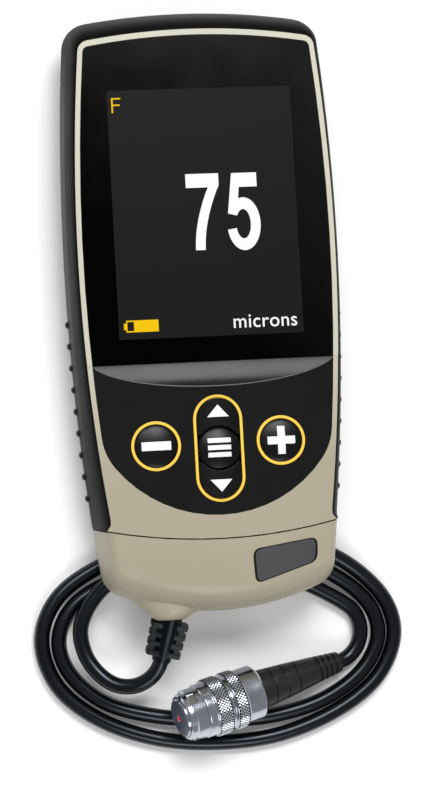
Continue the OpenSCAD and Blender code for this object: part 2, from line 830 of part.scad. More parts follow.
cavity_edge = hump_edge + 0.4;
upper_head_z = grip_z - 1.2;
lower_head_z = grip_z + 2;
board_post = [12, lower_screw[1] + 12];

module back_cover() {
    color("#2c2c2e")
    difference() {
        union() {
            difference() {
                union() {
                    back_plate();
                    hump();
                }
                from_to(back_wall, parting_z + 1)
                    polygon(outline(smaller(hump_shape(hump_foot_y - 0.35 * hump_slope, cavity_edge), cavity_edge, crown_corner_r - 3, 5)));
            }
            at_bay() box(door_w + 3, door_len + 3, 0.4, seat_z + 1.2);
            at_bay() box(bay_w + 2 * bay_wall, bay_len + 2 * bay_wall, 0.4, bay_top_z);
            at_bay() for (y = [-1, 1]) translate([0, y * door_screw_y, 0.4]) cylinder(d = boss_d - 0.6, h = 7.6);
            both_sides() screw_post(upper_screw, 0.4);
            both_sides() screw_post(lower_screw, grip_z + 0.4);
            both_sides() translate([board_post[0], board_post[1], grip_z + 0.4]) cylinder(d = 4, h = bay_top_z - grip_z - 0.4);
        }
        at_bay() from_to(-1, seat_z) rounded_rect(door_w, door_len, door_corner_r);
        at_bay() box(bay_w, bay_len, -1, cell_z);
        at_bay() for (i = [-1:1])
            translate([i * cell_pitch, 0, cell_z]) rotate([90, 0, 0]) cylinder(r = trough_r, h = bay_len, center = true);
        at_bay() for (y = [-1, 1]) translate([0, y * door_screw_y, -1]) cylinder(d = screw_d - 0.4, h = 8);
        both_sides() screw_hole(upper_screw, 0, upper_head_z);
        both_sides() screw_hole(lower_screw, grip_z, lower_head_z);
        gasket_ring(0);
    }
}

module gasket_ring(g) {
    from_to(parting_z - 0.7, parting_z - g) difference() {
        polygon(outline(smaller(bezel_shape, 0.5 + g, bezel_corner_r - 1, 1)));
        polygon(outline(smaller(bezel_shape, 1.4 - g, bezel_corner_r - 2, 1)));
    }
}

module case_gasket() {
    color("#6a6a6c") gasket_ring(fit);
}

// A screw whose head faces down, with a cross recess
module screw(head_bottom_z, top_z) {
    difference() {
        union() {
            translate([0, 0, head_bottom_z]) cylinder(d = screw_head_d, h = screw_head_t);
            translate([0, 0, head_bottom_z]) cylinder(d = screw_d, h = top_z - head_bottom_z);
        }
        for (a = [0, 90]) translate([0, 0, head_bottom_z]) rotate(a) cube([2.6, 0.6, 1.2], center = true);
    }
}

module case_screws() {
    color("#8a8c8f") both_sides() {
        translate([upper_screw[0], upper_screw[1]]) screw(upper_head_z - screw_head_t, case_screw_top_z);
        translate([lower_screw[0], lower_screw[1]]) screw(lower_head_z - screw_head_t, case_screw_top_z);
    }
}

door_z = seat_z - 0.4 - door_t;

module battery_door() {
    color("#262628")
    at_bay() difference() {
        from_to(door_z, door_z + door_t) rounded_rect(door_w - 6 * fit, door_len - 6 * fit, door_corner_r - 2 * fit);
        for (y = [-1, 1]) translate([0, y * door_screw_y, door_z - 1]) {
            cylinder(d = screw_head_d + 2 * screw_gap, h = 1 + 0.9);
            cylinder(d = screw_d + 2 * screw_gap, h = door_t + 2);
        }
        for (i = [0:4]) box(12 - i, 0.8, door_z - 1, door_z + 0.35, -door_len / 2 + 14 + i * 1.8);
    }
}

module door_gasket() {
    color("#6a6a6c")
    at_bay() from_to(door_z + door_t, seat_z) difference() {
        rounded_rect(door_w - 0.8, bay_len + 2 * door_seat - 0.8, 1.5);
        rounded_rect(bay_w + 0.8, bay_len + 0.8, 1);
    }
}

module door_screws() {
    color("#8a8c8f")
    at_bay() for (y = [-1, 1]) translate([0, y * door_screw_y])
        difference() {
            union() {
                translate([0, 0, door_z + 0.1]) cylinder(d = screw_head_d, h = 0.75);
                translate([0, 0, door_z + 0.1]) cylinder(d = screw_d - 0.4, h = 6);
            }
            for (a = [0, 90]) translate([0, 0, door_z]) rotate(a) cube([2.4, 0.5, 0.8], center = true);
        }
}

// A cell along Y, its button towards the display end when turn is 1
module cell(i, turn) {
    button = 0.8;
    color("#c2a23a")
    at_bay() translate([i * cell_pitch, 0, cell_z]) rotate([turn > 0 ? -90 : 90, 0, 0])
        translate([0, 0, -cell_len / 2]) {
            cylinder(d = cell_d, h = cell_len - button);
            cylinder(d = 3.8, h = cell_len);
        }
}

module battery_1() { cell(-1, 1); }

module battery_2() { cell(0, -1); }

module battery_3() { cell(1, 1); }

// A bent leaf at one end wall of the bay, touching the end of its cell
module contact_leaf(i, end) {
    plate_t = 0.4;
    reach = contact_room - 0.1;
    at_bay() translate([i * cell_pitch - 3, 0, 0]) mirror([0, end > 0 ? 0 : 1, 0])
        translate([0, bay_len / 2, 0]) rotate([90, 0, 90]) linear_extrude(6)
            polygon([
                [-fit, cell_z - 4], [-fit, cell_z + 3.5], [-plate_t - fit, cell_z + 3.5],
                [-reach, cell_z + 0.6], [-reach, cell_z - 0.6], [-plate_t - fit, cell_z - 2.6], [-plate_t - fit, cell_z - 4]
            ]);
}

module battery_contacts() {
    color("#b9bcc0") for (i = [-1:1], end = [-1, 1]) contact_leaf(i, end);
}

// Probe cap and plug

plug_root = 5;

module bulge() {
    // Distance from the bulge's end, reach to the left, reach to the right, half height
    steps = [
        [7.6, bulge_w + 2.4, bulge_w, 5.8], [5.8, bulge_w + 0.8, bulge_w, 5.8], [4, bulge_w - 0.8, bulge_w - 0.2, 5.75],
        [2.6, 6.5, bulge_w - 0.7, 5.6], [1.7, 5.6, 6.5, 5.3], [1, 4.9, 5.2, 4.9], [0.4, 4.2, 4.3, 4.4], [0, 3.6, 3.6, 3.8]
    ];
    loft([for (s = steps) let (mid = (s[2] - s[1]) / 2, half = (s[1] + s[2]) / 2) [
        for (i = [0:23]) [-cable_x + mid + half * cos(15 * i), bulge_end_y + s[0], boot_base_z + s[3] * sin(15 * i)]
    ]]);
}

module cap_body() {
    low = grip_z;
    // Height, inset of the side, inset of the end
    wall = [
        [low, 3, 3], [low + 0.5, 1.5, 1.5], [low + 1.5, 0.5, 0.5], [low + 3, 0, 0], [low + 5.6, 0.3, 0.15],
        [low + 8, 0.7, 0.5]
    ];
    // Depth below the crowned front, inset of the side, inset of the end
    roll = [
        [5.2, 0.95, 0.9], [3.9, 1.2, 1.45], [2.8, 1.45, 2.1], [1.9, 1.7, 2.85], [1.1, 2, 3.7], [0.5, 2.5, 4.6],
        [0.15, 3.2, 5.5], [-0.1, 4.2, 6.2]
    ];
    intersection() {
        loft(concat(
            [for (s = wall) at_height(cap_outline(s[1], s[2]), s[0])],
            [for (s = roll) [for (p = cap_outline(s[1], s[2])) [p[0], p[1], crown_at(p[0]) - s[0]]]]
        ));
        crowned();
    }
}

module probe_cap() {
    color("#b0a78e")
    difference() {
        union() {
            cap_body();
            bulge();
        }
        box(tongue_w + 3 + 2 * fit, 2 * plug_root + 2 * fit, plug_z - tongue_t / 2 - 1 - fit, plug_z + tongue_t / 2 + 1 + fit, seam_y);
        on_boot() translate([0, 0, -6]) cylinder(d = boot_core_d + 2 * fit, h = 7);
        on_boot() translate([0, 0, fin_start - 0.3]) cylinder(d = fin_span + 1.4, h = boot_len);
    }
}

module probe_plug() {
    tip = socket_deep - 1.2;
    color("#1c1c1e") {
        box(tongue_w + 3, plug_root - 0.6, plug_z - tongue_t / 2 - 1, plug_z + tongue_t / 2 + 1, seam_y - plug_root / 2 - 0.3);
        box(tongue_w, tip + 1, plug_z - tongue_t / 2, plug_z + tongue_t / 2, seam_y - 0.6 - 0.5 + (tip + 1) / 2);
    }
}

// Cable and its boot

boot_base_z = grip_z + 6;
fin_start = 0.7;
boot_base = [-cable_x, bulge_end_y, boot_base_z];
boot_dir = [-sin(boot_lean) * cos(boot_droop), -cos(boot_lean) * cos(boot_droop), -sin(boot_droop)];

module on_boot() {
    translate(boot_base) rotate([90 + boot_droop, 0, -boot_lean]) children();
}

module cable_boot() {
    pitch = (boot_len - fin_start) / (fin_count + 0.1);
    color("#1d1d20")
    on_boot() {
        translate([0, 0, -5]) cylinder(d = boot_core_d, h = 5.01);
        cylinder(d1 = boot_core_d, d2 = cable_d + 0.8, h = boot_len);
        for (k = [0:fin_count - 1]) {
            span = mix(fin_span, fin_span_end, k / (fin_count - 1));
            translate([0, 0, fin_start + k * pitch]) intersection() {
                cylinder(d = span, h = fin_t);
                cube([2 * span, 4.2, 4 * fin_t], center = true);
            }
        }
    }
}

// Where the probe lies
probe_tip = [-11.4, -96.5, 12.9];
probe_yaw = 14.5;
probe_dip = 13.5;
probe_dir = [cos(probe_dip) * cos(probe_yaw), cos(probe_dip) * sin(probe_yaw), -sin(probe_dip)];
probe_len = head_len + probe_boot_len;

// Points that the cable passes between its two boots
cable_route = [
    [-17, -86.2, 10.3], [-20.9, -88.2, 8.9], [-25.4, -87.8, 7.5], [-29.4, -84.8, 6.3], [-32.3, -79.9, 5.5],
    [-32.9, -73.6, 5.3], [-29.5, -67, 5.7], [-23, -61.8, 6.3], [-9, -56.5, 6.2], [6, -54.5, 6.1],
    [20.5, -56, 4.8], [32.7, -61.5, 2.8], [41.8, -70.4, 2], [44.2, -80, 2], [39.5, -90, 2], [29, -97.5, 2],
    [14.5, -102.5, 2], [-1, -103.5, 2], [-16, -101.5, 2], [-29.5, -96, 2], [-39, -87.5, 2], [-42.2, -76.5, 2],
    [-38, -66.5, 2], [-27.5, -59.5, 2], [-13.5, -55.5, 2], [2, -55, 2], [16.5, -58.3, 2], [29.3, -64.2, 2],
    [37.9, -71.6, 2], [40.2, -80, 2], [35.5, -88.5, 2], [25, -95, 2], [11.5, -98, 2], [-3, -97.7, 2],
    [-16.5, -96, 2], [-28, -92, 2], [-36, -84.5, 2], [-38, -76, 2], [-33.5, -68, 2], [-22.5, -62.5, 2],
    [-8, -59.5, 2], [6.5, -60.6, 2], [16, -63.4, 2], [23.5, -66.6, 2], [28.6, -69.4, 2], [32, -71.6, 2],
    [34.3, -73.6, 2], [35.6, -76.3, 2], [35.8, -79.3, 2], [34.8, -82.2, 2], [32.8, -84.5, 2.1]
];
cable_start = boot_base + boot_len * boot_dir;
cable_end = probe_tip + probe_len * probe_dir;
cable_ways = concat([cable_start], cable_route, [cable_end]);
cable_last = len(cable_ways) - 1;
cable_sides = 8;
cable_rings = 80;

// Smooth curve through the points, straight out of each boot
function way(i) =
    i < 0 ? cable_ways[1] - 2 * norm(cable_ways[1] - cable_ways[0]) * boot_dir :
    i > cable_last ? cable_ways[cable_last - 1] - 2 * norm(cable_ways[cable_last] - cable_ways[cable_last - 1]) * probe_dir :
    cable_ways[i];
function on_way(s) =
    let (i = min(cable_last - 1, floor(s)), t = s - i, a = way(i - 1), b = way(i), c = way(i + 1), d = way(i + 2))
    b + 0.5 * t * ((c - a) + t * ((2 * a - 5 * b + 4 * c - d) + t * (3 * b - a - 3 * c + d)));
function unit(v) = v / norm(v);
function heading(s) =
    s <= 0 ? boot_dir :
    s >= cable_last ? -probe_dir :
    unit(on_way(min(cable_last, s + 0.05)) - on_way(max(0, s - 0.05)));
function tube_ring(c, along, r, n) =
    let (across = unit(cross(along, [0, 0, 1])), down = cross(along, across))
    [for (k = [0:n - 1]) c + r * (cos(360 * k / n) * across + sin(360 * k / n) * down)];

module cable() {
    color("#17181b")
    loft([for (i = [0:cable_rings]) let (s = cable_last * i / cable_rings)
        tube_ring(on_way(s), heading(s), cable_d / 2, cable_sides)]);
}

// Probe

module on_probe() {
    translate(probe_tip) rotate([0, 90 + probe_dip, probe_yaw]) children();
}

module turned(profile) {
    rotate_extrude($fn = 72) polygon(profile);
}

plunger_head_len = plunger_out + nose_len;
flange_t = 0.8;
spring_room = 7;
barrel_bore_d = plunger_d + 1;
barrel_d = barrel_bore_d + 2 * barrel_wall;
nose_d = plunger_d + 2 * nose_wall;
barrel_front = plunger_head_len + fit;
groove_at = barrel_front + 6.2;

module probe_barrel() {
    r = barrel_d / 2;
    bore = barrel_bore_d / 2;
    bore_end = barrel_front + fit + flange_t + spring_room;
    spigot = probe_boot_d / 2 - 1;
    color("#c6c8ca")
    on_probe() turned([
        [bore, barrel_front], [r - 0.7, barrel_front], [r - 0.3, barrel_front + 0.3], [r - 0.3, barrel_front + 2.2],
        [r, barrel_front + 2.5], [r, groove_at], [r - 0.6, groove_at + 0.3], [r - 0.6, groove_at + 1],
        [r, groove_at + 1.3], [r, groove_at + 4.3], [r - 0.25, groove_at + 4.6], [r - 0.25, head_len - 0.9],
        [r - 1.1, head_len], [spigot + fit, head_len], [spigot + fit, bore_end + 1], [spigot - 1, bore_end + 1],
        [spigot - 1, bore_end], [bore, bore_end]
    ]);
}

module probe_nose() {
    r = nose_d / 2;
    hole = plunger_d / 2 + plunger_gap;
    color("#d2d4d6")
    on_probe() difference() {
        turned([
            [hole, plunger_out], [r - 1, plunger_out], [r - 0.6, plunger_out + 0.4], [r - 0.6, plunger_out + 1.4],
            [r, plunger_out + 1.6], [r, plunger_head_len], [hole, plunger_head_len]
        ]);
        for (a = [20, 140, 260]) rotate(a) translate([r - 0.5, -1.6, plunger_out + 1.4]) cube([1, 3.2, 1.8]);
    }
}

module probe_plunger() {
    r = plunger_d / 2;
    back = plunger_head_len + fit;
    color("#4b5568")
    on_probe() difference() {
        turned([
            [0, 0], [r - 0.8, 0], [r - 0.25, 0.2], [r, 0.7], [r, back + fit], [barrel_bore_d / 2 - plunger_gap, back + fit],
            [barrel_bore_d / 2 - plunger_gap, back + fit + flange_t], [r - 0.9, back + fit + flange_t], [r - 0.9, 1.6], [0, 1.6]
        ]);
        translate([0, 0, -1]) cylinder(d = ruby_d + 2 * fit, h = 2);
    }
}

module ruby_tip() {
    color("#c8143c")
    on_probe() intersection() {
        translate([0, 0, -0.35]) cylinder(d = ruby_d, h = 1.35);
        translate([0, 0, ruby_d / 2 - 0.3]) sphere(d = ruby_d + 0.2);
    }
}

module sensor_coil() {
    color("#b4713a")
    on_probe() translate([0, 0, 1.6]) difference() {
        cylinder(d = plunger_d - 1.8 - 2 * fit, h = plunger_head_len - 2);
        translate([0, 0, 0.6]) cylinder(d = 3, h = plunger_head_len);
    }
}

// Helix of the plunger's return spring
spring_wire = 0.7;
spring_turns = 5;
spring_steps = 14;
spring_r = (barrel_bore_d - spring_wire) / 2 - plunger_gap;
spring_start = plunger_head_len + 2 * fit + flange_t + spring_wire / 2 + fit;
spring_len = spring_room - spring_wire - 3 * fit;
function helix(i) =
    let (a = 360 * i / spring_steps)
    [spring_r * cos(a), spring_r * sin(a), spring_start + spring_len * i / (spring_turns * spring_steps)];

module probe_spring() {
    color("#9aa0a6")
    on_probe() loft([for (i = [0:spring_turns * spring_steps])
        tube_ring(helix(i), unit(helix(i + 0.5) - helix(i - 0.5)), spring_wire / 2, 6)]);
}

module probe_boot() {
    front = probe_boot_d / 2;
    back = probe_boot_end_d / 2;
    start = head_len + fit;
    spigot_start = head_len - 3;
    rib_count = 4;
    rib_pitch = 1.5;
    ribs_at = probe_len - 0.8 - rib_count * rib_pitch;
    function boot_r(z) = mix(front, back, pow((z - start) / (probe_len - start), 1.2));
    function groove(z, w, deep) = [
        [boot_r(z), z], [boot_r(z) - deep, z + 0.1], [boot_r(z + w) - deep, z + w - 0.1], [boot_r(z + w), z + w]
    ];
    color("#202023")
    on_probe() difference() {
        turned(concat(
            [[0, spigot_start], [front - 1, spigot_start], [front - 1, start], [front - 0.5, start], [front, start + 0.5]],
            [for (z = [start + 3, start + 6.4, start + 9.8]) each groove(z, 0.5, 0.3)],
            [for (k = [0:rib_count - 1]) each groove(ribs_at + k * rib_pitch, 0.6, 0.5)],
            [[back, probe_len - 0.3], [back - 0.3, probe_len], [0, probe_len]]
        ));
        translate([-boot_r(start + 8) - 1 + 0.35, -1.4, start + 4.4]) cube([1, 2.8, 7.4]);
    }
}

front_bezel();
rubber_armour();
back_cover();
case_gasket();
case_screws();
battery_door();
door_gasket();
door_screws();
battery_1();
battery_2();
battery_3();
battery_contacts();
main_board();
beeper();
probe_socket();
lcd_frame();
lcd_panel();
display_window();
keypad_panel();
key_rings();
keymat();
snap_domes();
minus_key();
plus_key();
up_key();
menu_key();
down_key();
probe_cap();
probe_plug();
cable_boot();
cable();
probe_boot();
probe_barrel();
probe_nose();
probe_plunger();
probe_spring();
sensor_coil();
ruby_tip();
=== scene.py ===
"""Looks of a hand-held coating thickness gauge that lies on its back, with a probe on a looped cable.

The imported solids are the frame. Each visible solid gets a smoothed copy with its own finish, and the
display's contents, the key signs, the bead along the sill, the bare badge, the knurling and the cable
are modelled here.
"""

import json
import math

import bpy
from bpy.props import FloatProperty, FloatVectorProperty, IntProperty, PointerProperty
from mathutils import Matrix, Vector

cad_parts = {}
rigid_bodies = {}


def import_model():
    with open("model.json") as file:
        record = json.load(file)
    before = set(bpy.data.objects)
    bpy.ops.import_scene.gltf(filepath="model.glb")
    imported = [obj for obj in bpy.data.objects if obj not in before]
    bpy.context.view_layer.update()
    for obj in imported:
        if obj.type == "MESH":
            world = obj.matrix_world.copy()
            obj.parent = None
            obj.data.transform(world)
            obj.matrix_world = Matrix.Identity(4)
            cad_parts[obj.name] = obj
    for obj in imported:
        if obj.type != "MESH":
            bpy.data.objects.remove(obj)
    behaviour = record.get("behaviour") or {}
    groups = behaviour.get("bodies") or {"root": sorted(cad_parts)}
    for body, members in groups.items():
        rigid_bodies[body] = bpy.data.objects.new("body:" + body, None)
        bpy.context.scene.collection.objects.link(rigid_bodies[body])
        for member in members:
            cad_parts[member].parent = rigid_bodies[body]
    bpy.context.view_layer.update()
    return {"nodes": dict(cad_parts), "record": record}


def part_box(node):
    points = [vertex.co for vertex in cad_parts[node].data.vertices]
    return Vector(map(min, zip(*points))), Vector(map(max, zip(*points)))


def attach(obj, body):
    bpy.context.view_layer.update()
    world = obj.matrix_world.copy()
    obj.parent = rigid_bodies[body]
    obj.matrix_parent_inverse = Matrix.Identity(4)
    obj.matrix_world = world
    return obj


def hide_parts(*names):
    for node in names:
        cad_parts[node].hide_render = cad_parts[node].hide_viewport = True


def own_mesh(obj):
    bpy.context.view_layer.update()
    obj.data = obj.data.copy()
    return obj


bl_info = {
    "name": "Coating Thickness Gauge",
    "version": (1, 0, 0),
    "blender": (4, 5, 0),
    "location": "View3D > Sidebar > Gauge",
    "description": "Builds the finish, the display, the keys, the cable and the probe of a thickness gauge",
    "category": "Object",
}

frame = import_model()
MM = 0.001

# Modelling limits: merging distances in millimetres and angles in degrees
SOLID_MERGE = 0.002
PRINT_MERGE = 0.0005
FLAT_ANGLE = 0.5
BEVEL_ANGLE = 40.0

# Where the probe lies, in millimetres and degrees
PROBE_TIP = Vector((-11.4, -96.5, 12.9))
PROBE_YAW = 14.5
PROBE_DIP = 13.5
PROBE_LENGTH = 44.0

# Knurled bands on the probe's barrel: start and end along its axis, and the radius of the grooves
KNURL_BANDS = {"knurl_front": (7.85, 11.35), "knurl_rear": (12.85, 15.65)}
KNURL_RADIUS = 6.97
# Heights above the groove radius in millimetres: below the first the knurl is painted dark, painted shade in
# its grooves; above the second it keeps its bright chrome
KNURL_PAINTED_SHADE_TO = 0.01
KNURL_BRIGHT_FROM = 0.11

# How squarely a face of the plunger looks along the probe to count as its flat
FLAT_MATCH = 0.6

# Grip nubs on the armour's walls: places along the gauge, and shares of the armour's height
NUB_FOOT = -43.1
NUB_PITCH = 5.2
NUB_HALF = 0.95
NUB_COUNT = 9
NUB_SHARES = (0.03, 0.18)

# Where the cable leaves its boot
BOOT_BASE = Vector((-12.4, -72.8, 15.2))
BOOT_LENGTH = 10.4
BOOT_LEAN = 14.0
BOOT_DROOP = 18.0

# The crowned front, and the axis of the hollow sill under the window
CROWN_TOP = 25.5
CROWN_RADIUS = 280.0
SILL_AXIS = (-10.03, 45.87)
SILL_RADIUS = 22.0
SILL_BEAD_RADIUS = 0.15
SILL_BEAD_SINK = 0.04
SILL_BEAD_INSET = 0.6
SILL_BEAD_CLEAR = 0.3
SILL_BEAD_STEPS = 80

# How near a corner lies to the crown or the sill, and how squarely its face looks, to take its normal
CROWN_SLACK = 0.06
CROWN_MATCH = 0.9975
SILL_SLACK = 0.15
SILL_MATCH = 0.98

# Heights above the window's face, and the unit word's lower left corner and size
FIELD_LIFT = 0.02
INK_LIFT = 0.04
UNIT_CORNER = (5.3, -4.85)
UNIT_SIZE = (15.25, 3.1)

# Signs on the keys: places and half sizes in millimetres, and the height they are dropped from
SIGN_DROP = 1.0
MINUS_HALF = (3.5, 1.03)
PLUS_REACH = 3.3
PLUS_HALF = 0.9
MENU_HALF = (2.75, 0.55)
MENU_PITCH = 1.69
MENU_LIFT = 0.15
ARROW_PLACE = 8.7
ARROW_HALF = 2.6
ARROW_FOOT = 1.35
ARROW_TIP = 1.55

# The bare badge on the probe cap
BADGE_CORNERS = [(6.6, -57.15), (22.4, -55.0), (22.1, -60.7), (6.9, -65.35)]
BADGE_BORDER = 0.63
BADGE_DROP_Z = 30.0
CORNER_STEPS = 6

# Stage: each light's place and diameter in metres and its power in watts
LIGHTS = {
    "left_key": ((-0.22, 0.46, 0.92), 0.4, 2.8),
    "right_key": ((0.13, 0.46, 0.94), 0.4, 5.7),
    "front_fill": ((0.05, -0.75, 0.7), 0.45, 2.7),
}
LIGHT_AIM = Vector((0, -0.02, 0.01))
FLOOR_SIZE = 6.0

# Camera: place and sensor in millimetres, two of its axes, and its focal length in pixels of the picture
CAMERA_PLACE = Vector((-90.9, -52.7, 629.1))
CAMERA_RIGHT = Vector((0.9879, -0.0552, 0.1449))
CAMERA_UP = Vector((0.0472, 0.9972, 0.0583))
SENSOR_HEIGHT = 36.0
FOCAL_PIXELS = 2600.0
PICTURE_PIXELS = 800.0

# Sockets of a Mix node that mixes colours
MIX_FACTOR = 0
MIX_LOW = 6
MIX_HIGH = 7
MIX_RESULT = 2

# Slow drift of a moulded finish's tone, and how far its roughness drifts
DRIFT_SCALE = 45.0
ROUGH_DRIFT = 0.04

# Points that the cable passes between its two boots, in millimetres
CABLE_ROUTE = [
    (-17, -86.2, 10.3), (-20.9, -88.2, 8.9), (-25.4, -87.8, 7.5), (-29.4, -84.8, 6.3), (-32.3, -79.9, 5.5),
    (-32.9, -73.6, 5.3), (-29.5, -67, 5.7), (-23, -61.8, 6.3), (-9, -56.5, 6.2), (6, -54.5, 6.1),
    (20.5, -56, 4.8), (32.7, -61.5, 2.8), (41.8, -70.4, 2), (44.2, -80, 2), (39.5, -90, 2), (29, -97.5, 2),
    (14.5, -102.5, 2), (-1, -103.5, 2), (-16, -101.5, 2), (-29.5, -96, 2), (-39, -87.5, 2),
    (-42.2, -76.5, 2), (-38, -66.5, 2), (-27.5, -59.5, 2), (-13.5, -55.5, 2), (2, -55, 2), (16.5, -58.3, 2),
    (29.3, -64.2, 2), (37.9, -71.6, 2), (40.2, -80, 2), (35.5, -88.5, 2), (25, -95, 2), (11.5, -98, 2),
    (-3, -97.7, 2), (-16.5, -96, 2), (-28, -92, 2), (-36, -84.5, 2), (-38, -76, 2), (-33.5, -68, 2),
    (-22.5, -62.5, 2), (-8, -59.5, 2), (6.5, -60.6, 2), (16, -63.4, 2), (23.5, -66.6, 2), (28.6, -69.4, 2),
    (32, -71.6, 2), (34.3, -73.6, 2), (35.6, -76.3, 2), (35.8, -79.3, 2), (34.8, -82.2, 2),
    (32.8, -84.5, 2.1),
]


class GaugeColours(bpy.types.PropertyGroup):
    """Colours that a user would change."""

    housing: FloatVectorProperty(
        name="Housing", description="Beige of the bezel and the probe cap",
        subtype="COLOR", size=3, min=0, max=1, default=(0.385, 0.345, 0.25))
    rim: FloatVectorProperty(
        name="Rim", description="Lighter beige of the rim round the window",
        subtype="COLOR", size=3, min=0, max=1, default=(0.54, 0.52, 0.415))
    armour: FloatVectorProperty(
        name="Armour", description="Dark grey of the rubber armour",
        subtype="COLOR", size=3, min=0, max=1, default=(0.0045, 0.0045, 0.0046))
    ring: FloatVectorProperty(
        name="Key rings", description="Yellow of the rings round the keys",
        subtype="COLOR", size=3, min=0, max=1, default=(0.93, 0.6, 0.065))
    sign: FloatVectorProperty(
        name="Signs", description="White of the signs on the keys",
        subtype="COLOR", size=3, min=0, max=1, default=(0.86, 0.86, 0.86))
    screen: FloatVectorProperty(
        name="Screen", description="Dark grey of the lit screen",
        subtype="COLOR", size=3, min=0, max=1, default=(0.0115, 0.0115, 0.0115))
    alert: FloatVectorProperty(
        name="Alert", description="Yellow of the letter and the battery sign on the screen",
        subtype="COLOR", size=3, min=0, max=1, default=(1.0, 0.6, 0.0))
    cable: FloatVectorProperty(
        name="Cable", description="Black of the cable",
        subtype="COLOR", size=3, min=0, max=1, default=(0.001, 0.0013, 0.0024))
    ruby: FloatVectorProperty(
        name="Ruby", description="Red of the jewel in the probe's face",
        subtype="COLOR", size=3, min=0, max=1, default=(0.48, 0.008, 0.065))


class GaugeSizes(bpy.types.PropertyGroup):
    """Sizes that a user would change."""

    cable_d: FloatProperty(
        name="Cable diameter", description="Diameter of the cable", default=3.8 * MM, unit="LENGTH")
    knurl_count: IntProperty(
        name="Knurls", description="Knurl points round the barrel", default=54, min=12, max=96)
    knurl_deep: FloatProperty(
        name="Knurl depth", description="Height of a knurl point", default=0.2 * MM, unit="LENGTH")
    sign_proud: FloatProperty(
        name="Sign height", description="Height of a sign above its key", default=0.03 * MM, unit="LENGTH")
    screen_w: FloatProperty(
        name="Screen width", description="Width of the lit screen", default=44.0 * MM, unit="LENGTH")
    screen_len: FloatProperty(
        name="Screen length", description="Length of the lit screen", default=59.0 * MM, unit="LENGTH")
    screen_y: FloatProperty(
        name="Screen place", description="Middle of the screen along the gauge", default=23.0 * MM,
        unit="LENGTH")


def colours():
    return bpy.context.scene.gauge_colours


def sizes():
    return bpy.context.scene.gauge_sizes


# Selection and small modelling helpers


def deselect_all():
    for item in bpy.context.view_layer.objects:
        item.select_set(False)


def select_only(piece):
    deselect_all()
    piece.select_set(True)
    bpy.context.view_layer.objects.active = piece


def edit(piece):
    select_only(piece)
    bpy.ops.object.mode_set(mode="EDIT")
    bpy.ops.mesh.select_all(action="SELECT")


def select_edges(piece, wanted):
    """Enters edit mode with only the edges of those numbers selected."""
    edit(piece)
    bpy.ops.mesh.select_mode(type="EDGE")
    bpy.ops.mesh.select_all(action="DESELECT")
    leave_edit()
    for index in wanted:
        piece.data.edges[index].select = True
    bpy.ops.object.mode_set(mode="EDIT")


def leave_edit():
    bpy.ops.object.mode_set(mode="OBJECT")


def apply_modifier(piece, kind, **settings):
    select_only(piece)
    modifier = piece.modifiers.new(kind.title(), kind)
    for key, value in settings.items():
        setattr(modifier, key, value)
    bpy.ops.object.modifier_apply(modifier=modifier.name)


def smooth(piece, degrees):
    select_only(piece)
    bpy.ops.object.shade_smooth_by_angle(angle=math.radians(degrees))


def settle(piece):
    """Puts the piece's place into its mesh, with the object at the origin."""
    select_only(piece)
    bpy.ops.object.transform_apply(location=True, rotation=True, scale=True)


def paint(piece, material):
    piece.data.materials.clear()
    piece.data.materials.append(material)


def linked(name, data):
    piece = bpy.data.objects.new(name, data)
    bpy.context.scene.collection.objects.link(piece)
    return piece


def round_line(name, places, radius, fineness):
    """A smooth curve of round section through places in millimetres."""
    curve = bpy.data.curves.new(name, "CURVE")
    curve.dimensions = "3D"
    curve.bevel_depth = radius
    curve.bevel_resolution = fineness
    line = curve.splines.new("POLY")
    line.points.add(len(places) - 1)
    for point, place in zip(line.points, places):
        point.co = (*(place * MM), 1)
    line.use_smooth = True
    return linked(name, curve)


def body_of_node(node):
    for body, members in frame["record"]["behaviour"]["bodies"].items():
        if node in members:
            return body
    raise RuntimeError("no body holds the node " + node)


def dressed(node, material, degrees, bevel=0.0, segments=2):
    """A merged, smoothed and bevelled copy of a solid, which then stands for it."""
    source = frame["nodes"][node]
    piece = linked(node + "_finish", source.data.copy())
    edit(piece)
    bpy.ops.mesh.customdata_custom_splitnormals_clear()
    bpy.ops.mesh.remove_doubles(threshold=SOLID_MERGE * MM)
    if bevel > 0:
        bpy.ops.mesh.dissolve_limited(angle_limit=math.radians(FLAT_ANGLE))
    leave_edit()
    if bevel > 0:
        apply_modifier(
            piece, "BEVEL", width=bevel * MM, segments=segments, limit_method="ANGLE",
            angle_limit=math.radians(BEVEL_ANGLE), use_clamp_overlap=True, harden_normals=False)
    smooth(piece, degrees)
    if bevel > 0:
        apply_modifier(piece, "WEIGHTED_NORMAL", mode="FACE_AREA", weight=100, keep_sharp=True)
    paint(piece, material)
    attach(piece, body_of_node(node))
    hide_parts(node)
    return piece


# Shared effects


def group_of(name, inputs, outputs):
    group = bpy.data.node_groups.new(name, "ShaderNodeTree")
    for label, value in inputs:
        socket = group.interface.new_socket(label, in_out="INPUT", socket_type="NodeSocketFloat")
        socket.default_value = value
    for label in outputs:
        group.interface.new_socket(label, in_out="OUTPUT", socket_type="NodeSocketFloat")
    start = group.nodes.new("NodeGroupInput")
    end = group.nodes.new("NodeGroupOutput")
    place = group.nodes.new("ShaderNodeTexCoord")
    return group, start, end, place


